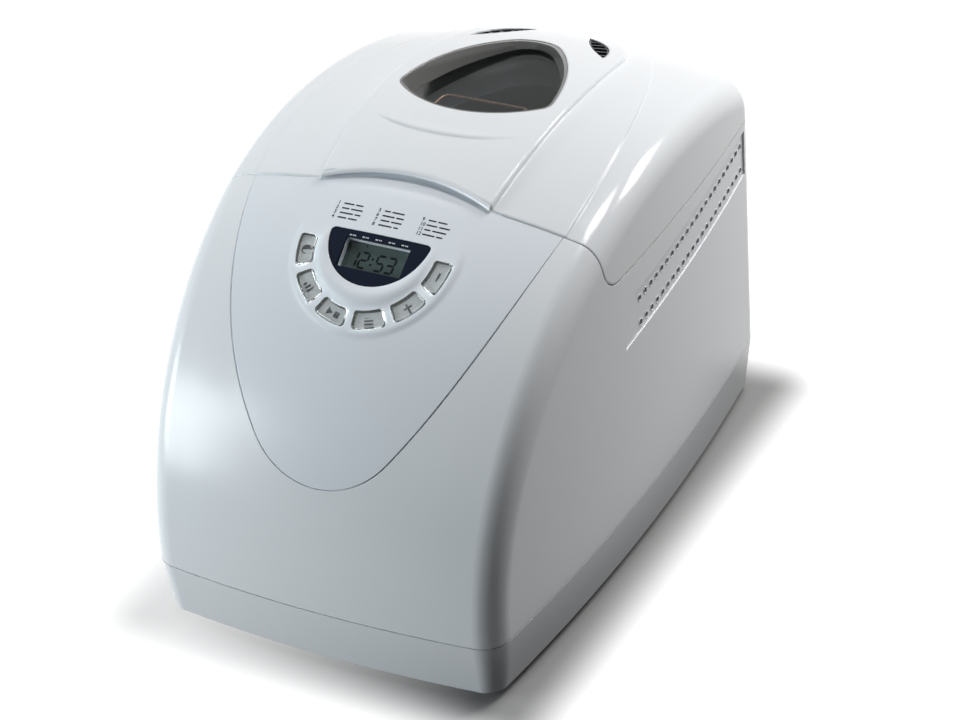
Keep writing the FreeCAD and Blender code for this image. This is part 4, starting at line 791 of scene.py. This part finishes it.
def make_digits(ink):
    """A plain clock time on the liquid-crystal face."""
    builder = bmesh.new()

    def face_spot(point):
        return control_point(point.x + SLANT * point.y, CLOCK_V + point.y, CLOCK_W)

    bars = segment_outlines()
    for digit, x in CLOCK:
        for name in DIGITS[digit]:
            add_print(builder, [point + Vector((x, 0)) for point in bars[name]], face_spot)
    for y in COLON_Y:
        add_print(builder, bar_outline(COLON_X, y, STROKE, STROKE), face_spot)
    add_print(builder, [Vector(corner) for corner in POINTER], face_spot)
    digits = settled(new_piece("lcd_digits", builder, ink))
    place(digits, "machine", "dark_plastic")


def make_lcd_surround(material):
    """The pale sleeve that lines the display's opening."""
    builder = bmesh.new()
    loops = []
    section = ((SLEEVE_OUTER, SLEEVE_FOOT), (SLEEVE_OUTER, SLEEVE_TOP),
               (SLEEVE_INNER, SLEEVE_TOP), (SLEEVE_INNER, SLEEVE_FOOT))
    for margin, w in section:
        outline = bar_outline(0, LCD_V, LCD_WIDTH - margin, LCD_HEIGHT - margin)
        loops.append([builder.verts.new(control_point(p.x, p.y, w)) for p in outline])
    for low, high in zip(loops, loops[1:] + loops[:1]):
        for i in range(4):
            builder.faces.new((low[i], low[(i + 1) % 4], high[(i + 1) % 4], high[i]))
    place(settled(new_piece("lcd_surround", builder, material)), "machine", "panel_white")


def make_display_marks(ink):
    """Five small dashes over the liquid-crystal face."""
    builder = bmesh.new()

    def on_bezel(point):
        return control_point(point.x, point.y, skin_lift(point.x, point.y) + MARK_LIFT)

    for x in MARK_COLUMNS:
        for step, length in MARK_DASHES:
            add_print(builder, bar_outline(x + step, MARK_V, length, MARK_HEIGHT), on_bezel)
    place(settled(new_piece("display_marks", builder, ink)), "machine", "white_gloss")


# Printed list on the panel

LIST_COLUMNS, LIST_TOP, LIST_PITCH = (-37.6, -9.6, 19.7), 38.3, 3.25
NUMBER_SIZE, NUMBER_WEIGHT, BAR_HEIGHT, BAR_START, BAR_GAP = 3.4, 0.07, 0.95, 4.2, 1.2
NUMBER_DROP, PRINT_LIFT, PRINT_FROM = 1.0, 0.05, 25.0
BAR_LENGTHS = ((7, 5), (5, 8), (9, 4), (6, 6), (4, 8), (8, 5), (6, 7), (9, 3), (5, 6), (7, 7), (4, 9),
               (8, 4))


def number_mesh(text):
    curve = bpy.data.curves.new("list_number", "FONT")
    curve.body, curve.size, curve.offset = text, NUMBER_SIZE, NUMBER_WEIGHT
    letters = bpy.data.objects.new("list_number", curve)
    bpy.context.scene.collection.objects.link(letters)
    depsgraph = bpy.context.evaluated_depsgraph_get()
    mesh = bpy.data.meshes.new_from_object(letters.evaluated_get(depsgraph))
    bpy.data.objects.remove(letters)
    return mesh


def make_list_print(panel, ink):
    """Numbers one to twelve, each with two plain bars, laid on the panel."""
    skin = panel.data
    tree = BVHTree.FromPolygons([v.co for v in skin.vertices], [p.vertices for p in skin.polygons])
    builder = bmesh.new()

    def on_panel(point):
        start = control_point(point.x, point.y, PRINT_FROM) * MM
        hit = tree.ray_cast(start, -CONTROL_OUT)[0]
        return hit / MM + CONTROL_OUT * PRINT_LIFT

    for index, lengths in enumerate(BAR_LENGTHS):
        u = LIST_COLUMNS[index // 4]
        v = LIST_TOP - LIST_PITCH * (index % 4)
        mesh = number_mesh(str(index + 1))
        for polygon in mesh.polygons:
            outline = [mesh.vertices[i].co.xy + Vector((u, v - NUMBER_DROP)) for i in polygon.vertices]
            add_print(builder, outline, on_panel)
        start = u + BAR_START
        for length in lengths:
            for step in range(length):
                add_print(builder, bar_outline(start + step + 0.5, v, 1.0, BAR_HEIGHT), on_panel)
            start += length + BAR_GAP
    bmesh.ops.remove_doubles(builder, verts=builder.verts, dist=JOIN_GAP)
    place(settled(new_piece("list_print", builder, ink)), "machine", "dark_plastic")


# Step on the hood in front of the window

BROW_HALF, BROW_Y, BROW_BEND, BROW_CURL = 50.0, -4.6, 0.0036, 5.8e-7
BROW_PROFILE = ((-0.6, -0.4), (-0.2, 0.15), (0.2, 0.8), (0.9, 1.2), (2.2, 1.12), (4.0, 0.85), (6.0, 0.5),
                (8.0, 0.22), (10.0, 0.06), (12.0, -0.02), (14.0, -0.06), (16.0, -0.1), (16.6, -0.4))
BROW_STEPS, BROW_SINK, BROW_BLEND, HALF_STEP = 72, 0.1, (0.6, 0.1), 0.5


def hood_normal(x, y):
    """Outward direction of the hood's plain skin."""
    dx = skin_height(x + HALF_STEP, y, HOOD_RISE) - skin_height(x - HALF_STEP, y, HOOD_RISE)
    dy = skin_height(x, y + HALF_STEP, HOOD_RISE) - skin_height(x, y - HALF_STEP, HOOD_RISE)
    return Vector((-dx, -dy, 1.0)).normalized()


def make_brow(material):
    """A low ridge whose rear runs out into the hood's skin."""
    builder = bmesh.new()
    rows = []
    for i in range(BROW_STEPS + 1):
        share = 2 * i / BROW_STEPS - 1
        x = BROW_HALF * share
        y = BROW_Y + BROW_BEND * x ** 2 + BROW_CURL * x ** 4
        fade = math.sqrt(max(1 - share ** 2, 0.0))
        row = []
        for back, rise in BROW_PROFILE:
            lift = rise * fade if rise > 0 else rise - BROW_SINK * (1 - fade)
            row.append(builder.verts.new((x, y + back, skin_height(x, y + back, HOOD_RISE) + lift)))
        rows.append(row)
    add_strip(builder, rows)
    brow = settled(new_piece("brow_step", builder, material), ROUND_EDGE)
    normals = []
    for corner in brow.data.vertices:
        x, y, z = corner.co / MM
        lift = z - skin_height(x, y, HOOD_RISE)
        share = smooth_step(*BROW_BLEND, lift)
        normals.append(corner.normal.lerp(hood_normal(x, y), share).normalized())
    brow.data.normals_split_custom_set_from_vertices(normals)
    place(brow, "lid", "white_gloss")


# Rims of the side vent holes

HOLE_COUNT, HOLE_PITCH, HOLE_ROWS, HOLE_SLOPE, RECESS = 22, 8.0, (162.0, 179.0), math.radians(4.6), 1.0
VENT_SIZES = {"Holes per row": HOLE_COUNT, "Pitch": HOLE_PITCH * MM, "Slope": math.tan(HOLE_SLOPE),
              "Row gap": (HOLE_ROWS[1] - HOLE_ROWS[0]) * MM, "Middle height": sum(HOLE_ROWS) / 2 * MM,
              "Ring radius": 2.15 * MM, "Ring thickness": 0.3 * MM, "Recess": RECESS * MM,
              "Side radius": (BACK_Y ** 2 + SIDE_BOW ** 2) / (2 * SIDE_BOW) * MM,
              "Half width": HALF_WIDTH * MM}


class Tree:
    """A Geometry Nodes tree with named inputs."""

    def __init__(self, name):
        self.tree = bpy.data.node_groups.new(name, "GeometryNodeTree")
        self.tree.interface.new_socket("Geometry", in_out="OUTPUT", socket_type="NodeSocketGeometry")
        self.source = self.tree.nodes.new("NodeGroupInput")

    def input(self, name, kind="Float"):
        self.tree.interface.new_socket(name, in_out="INPUT", socket_type="NodeSocket" + kind)
        return self.source.outputs[name]

    def node(self, kind, settings=None, **sockets):
        item = self.tree.nodes.new(kind)
        for key, value in (settings or {}).items():
            setattr(item, key, value)
        for key, value in sockets.items():
            socket = item.inputs[int(key[1:])] if key[0] == "_" else item.inputs[key.replace("_", " ")]
            if isinstance(value, bpy.types.NodeSocket):
                self.tree.links.new(value, socket)
            else:
                socket.default_value = value
        return item

    def math(self, operation, first, second):
        return self.node("ShaderNodeMath", {"operation": operation}, _0=first, _1=second).outputs[0]


def vent_rim_tree(material):
    """Rings on a sloped grid of points, once for each side of the body."""
    made = Tree("vent_rims")
    count = made.input("Holes per row", "Int")
    pitch, slope, rows, height = (made.input(name) for name in ("Pitch", "Slope", "Row gap", "Middle height"))
    radius, wire, sink = (made.input(name) for name in ("Ring radius", "Ring thickness", "Recess"))
    half, bow = (made.input(name) for name in ("Half width", "Side radius"))
    length = made.math("MULTIPLY", pitch, made.math("SUBTRACT", count, 1.0))
    grid = made.node("GeometryNodeMeshGrid", Size_X=length, Size_Y=rows, Vertices_X=count, Vertices_Y=2)
    spot = made.node("ShaderNodeSeparateXYZ", Vector=made.node("GeometryNodeInputPosition").outputs[0])
    along = made.math("ADD", spot.outputs[0], made.math("MULTIPLY", length, 0.5))
    rise = made.math("ADD", made.math("ADD", spot.outputs[1], height), made.math("MULTIPLY", along, slope))
    sag = made.math("SUBTRACT", made.math("MULTIPLY", bow, bow), made.math("MULTIPLY", along, along))
    side = made.math("ADD", made.math("SUBTRACT", half, bow), made.math("SQRT", sag, 0.0))
    circle = made.node("GeometryNodeCurvePrimitiveCircle", Resolution=16, Radius=radius)
    thread = made.node("GeometryNodeCurvePrimitiveCircle", Resolution=6, Radius=wire)
    ring = made.node("GeometryNodeCurveToMesh", Curve=circle.outputs[0], Profile_Curve=thread.outputs[0])
    joined = made.node("GeometryNodeJoinGeometry")
    for sign in (1.0, -1.0):
        across = made.math("MULTIPLY", made.math("SUBTRACT", side, sink), sign)
        target = made.node("ShaderNodeCombineXYZ", X=across, Y=along, Z=rise)
        points = made.node("GeometryNodeSetPosition", Geometry=grid.outputs[0], Position=target.outputs[0])
        rings = made.node("GeometryNodeInstanceOnPoints", Points=points.outputs[0], Instance=ring.outputs[0],
                          Rotation=(0.0, math.pi / 2, 0.0))
        made.tree.links.new(rings.outputs[0], joined.inputs[0])
    real = made.node("GeometryNodeRealizeInstances", Geometry=joined.outputs[0])
    faced = made.node("GeometryNodeSetMaterial", Geometry=real.outputs[0], Material=material)
    made.tree.links.new(faced.outputs[0], made.tree.nodes.new("NodeGroupOutput").inputs[0])
    return made.tree


def make_vent_rims(material):
    rims = new_piece("vent_rims", bmesh.new(), material)
    rings = rims.modifiers.new("rings", "NODES")
    rings.node_group = vent_rim_tree(material)
    for socket in rings.node_group.interface.items_tree:
        if socket.in_out == "INPUT":
            rings[socket.identifier] = VENT_SIZES[socket.name]
    place(settled(rims, ROUND_EDGE), "machine", "white_gloss")


# Camera, floor and light

PHOTO_WIDTH = 960
FOCAL_PIXELS = 3031.18
WORLD_LIGHT, FLOOR_SIZE, PAINTED_SHADOW_SIDE_SPAN = 0.035, 6.0, 0.1
# Floor glow by the body's left side, by its right side and far off; the low values near the body paint a
# shadow around it.
FLOOR_GLOW_AND_PAINTED_SHADOW, PAINTED_SHADOW_WIDTH, PAINTED_SHADOW_FOOTPRINT = (0.62, 0.0, 1.0), 0.048, (0.125, 0.185)
CAMERA_PLACE = Vector((0.82177, -1.37575, 1.12809))
CAMERA_AZIMUTH, CAMERA_ELEVATION, CAMERA_ROLL = (math.radians(angle) for angle in (30.40, 32.61, -4.71))


def make_camera():
    a, e, r = CAMERA_AZIMUTH, CAMERA_ELEVATION, CAMERA_ROLL
    back = Vector((math.sin(a) * math.cos(e), -math.cos(a) * math.cos(e), math.sin(e)))
    level = Vector((0, 0, 1)).cross(back).normalized()
    rise = back.cross(level)
    right = level * math.cos(r) + rise * math.sin(r)
    up = rise * math.cos(r) - level * math.sin(r)
    lens = bpy.data.cameras.new("photo_camera")
    lens.sensor_width = 36.0
    lens.lens = FOCAL_PIXELS * lens.sensor_width / PHOTO_WIDTH
    camera = bpy.data.objects.new("photo_camera", lens)
    camera.matrix_world = Matrix.Translation(CAMERA_PLACE) @ Matrix((right, up, back)).transposed().to_4x4()
    bpy.context.scene.collection.objects.link(camera)
    bpy.context.scene.camera = camera


def softbox(name, spot, target, width, height, watts, colour):
    light = bpy.data.lights.new(name, "AREA")
    light.shape = "RECTANGLE"
    light.size, light.size_y = width, height
    light.energy = watts
    light.color = colour
    lamp = bpy.data.objects.new(name, light)
    lamp.location = spot
    lamp.rotation_euler = (target - spot).to_track_quat("-Z", "Y").to_euler()
    bpy.context.scene.collection.objects.link(lamp)


def make_light():
    middle = Vector((0.0, 0.0, 0.15))
    cool, warm, plain = (0.905, 0.975, 1.0), (1.0, 0.985, 0.965), (1.0, 1.0, 1.0)
    lamps = (("key_softbox", (-0.78, -0.60, 0.06), 2.2, 1.2, 1.2, 58.0, cool),
             ("shoulder_softbox", (0.42, 0.62, 0.66), 2.0, 0.7, 0.5, 22.0, warm),
             ("top_softbox", (0.18, 0.28, 0.94), 2.0, 0.6, 0.6, 18.5, plain))
    for name, way, reach, width, height, watts, colour in lamps:
        softbox(name, middle + Vector(way).normalized() * reach, middle, width, height, watts, colour)


def see_background(made):
    """One where the camera, a mirror or a glass looks at the background."""
    seen = made.math("MAXIMUM", made.ray("Camera"), made.ray("Glossy"))
    return made.math("MAXIMUM", seen, made.ray("Transmission"))


def make_world():
    made = Finish("studio", bpy.data.worlds, "Background", "World Output")
    bpy.context.scene.world = made.material
    made.set(Color=(0.9, 0.95, 1.0), Strength=WORLD_LIGHT)
    made.mix(see_background(made), made.own(), made.node("Background", {}, {"Color": (1.0, 1.0, 1.0)}))


def make_floor():
    mesh = bpy.data.meshes.new("studio_floor")
    builder = bmesh.new()
    bmesh.ops.create_grid(builder, x_segments=1, y_segments=1, size=FLOOR_SIZE)
    builder.to_mesh(mesh)
    builder.free()
    floor = bpy.data.objects.new("studio_floor", mesh)
    floor.location.z = CAD_BOX[0][2]
    bpy.context.scene.collection.objects.link(floor)
    made = Finish("pale_floor_with_painted_shadow")
    cloud = made.banded(made.noise(6.0), 0.0, 1.0)
    made.set(Base_Color=made.blend(cloud, (0.3, 0.3, 0.3), (0.29, 0.29, 0.29)), Roughness=0.9)
    beyond = [made.math("ABSOLUTE", made.axis(name), 0.0) - half for name, half in zip("XY", PAINTED_SHADOW_FOOTPRINT)]
    beyond = [made.math("MAXIMUM", gap, 0.0) for gap in beyond]
    away = made.math("SQRT", beyond[0] * beyond[0] + beyond[1] * beyond[1], 0.0)
    # Painted shadow: the glow that whitens the floor fades out towards the body's footprint, fully on its
    # right side, on top of the real shadow.
    left, right, far = FLOOR_GLOW_AND_PAINTED_SHADOW
    painted_shadow_glow = made.node("MapRange", {},
                     {"Value": made.axis("X"), 1: -PAINTED_SHADOW_SIDE_SPAN, 2: PAINTED_SHADOW_SIDE_SPAN, 3: left, 4: right})
    glow_with_painted_shadow = made.node("MapRange", {"interpolation_type": "SMOOTHSTEP"},
                     {"Value": away, 1: 0.0, 2: PAINTED_SHADOW_WIDTH, 3: painted_shadow_glow, 4: far})
    shine = made.node("Emission", {}, {"Color": glow_with_painted_shadow})
    lit = made.node("AddShader", {}, {0: made.own(), 1: shine})
    made.mix(see_background(made), made.node("BsdfDiffuse", {}, {"Color": (0.08, 0.08, 0.08)}), lit)
    mesh.materials.append(made.material)


bpy.context.scene.view_settings.view_transform = "Standard"
make_camera()
make_light()
make_world()
make_floor()
FINISHES = slot_finishes()
dress_nodes(FINISHES)
DARK_INK = printed_ink("dark_ink", (0.014, 0.017, 0.022), (0.026, 0.03, 0.036), 0.1)
WHITE_INK = printed_ink("white_ink", (0.74, 0.78, 0.8), (0.62, 0.66, 0.68))
PANEL = make_panel(FINISHES["panel_white"])
make_keys(FINISHES["silver_button"], key_core(), DARK_INK)
make_digits(printed_ink("liquid_crystal_segment", (0.008, 0.012, 0.012), (0.014, 0.018, 0.018), 0.05))
make_lcd_surround(FINISHES["panel_white"])
make_display_marks(WHITE_INK)
make_list_print(PANEL, DARK_INK)
LID_WHITE = glossy_white("glossy_white_lid", 0.15, 2.4 * MM)
make_lid_skin(LID_WHITE)
make_lid_lip(FINISHES["white_gloss"])
make_brow(LID_WHITE)
make_vent_rims(FINISHES["white_gloss"])
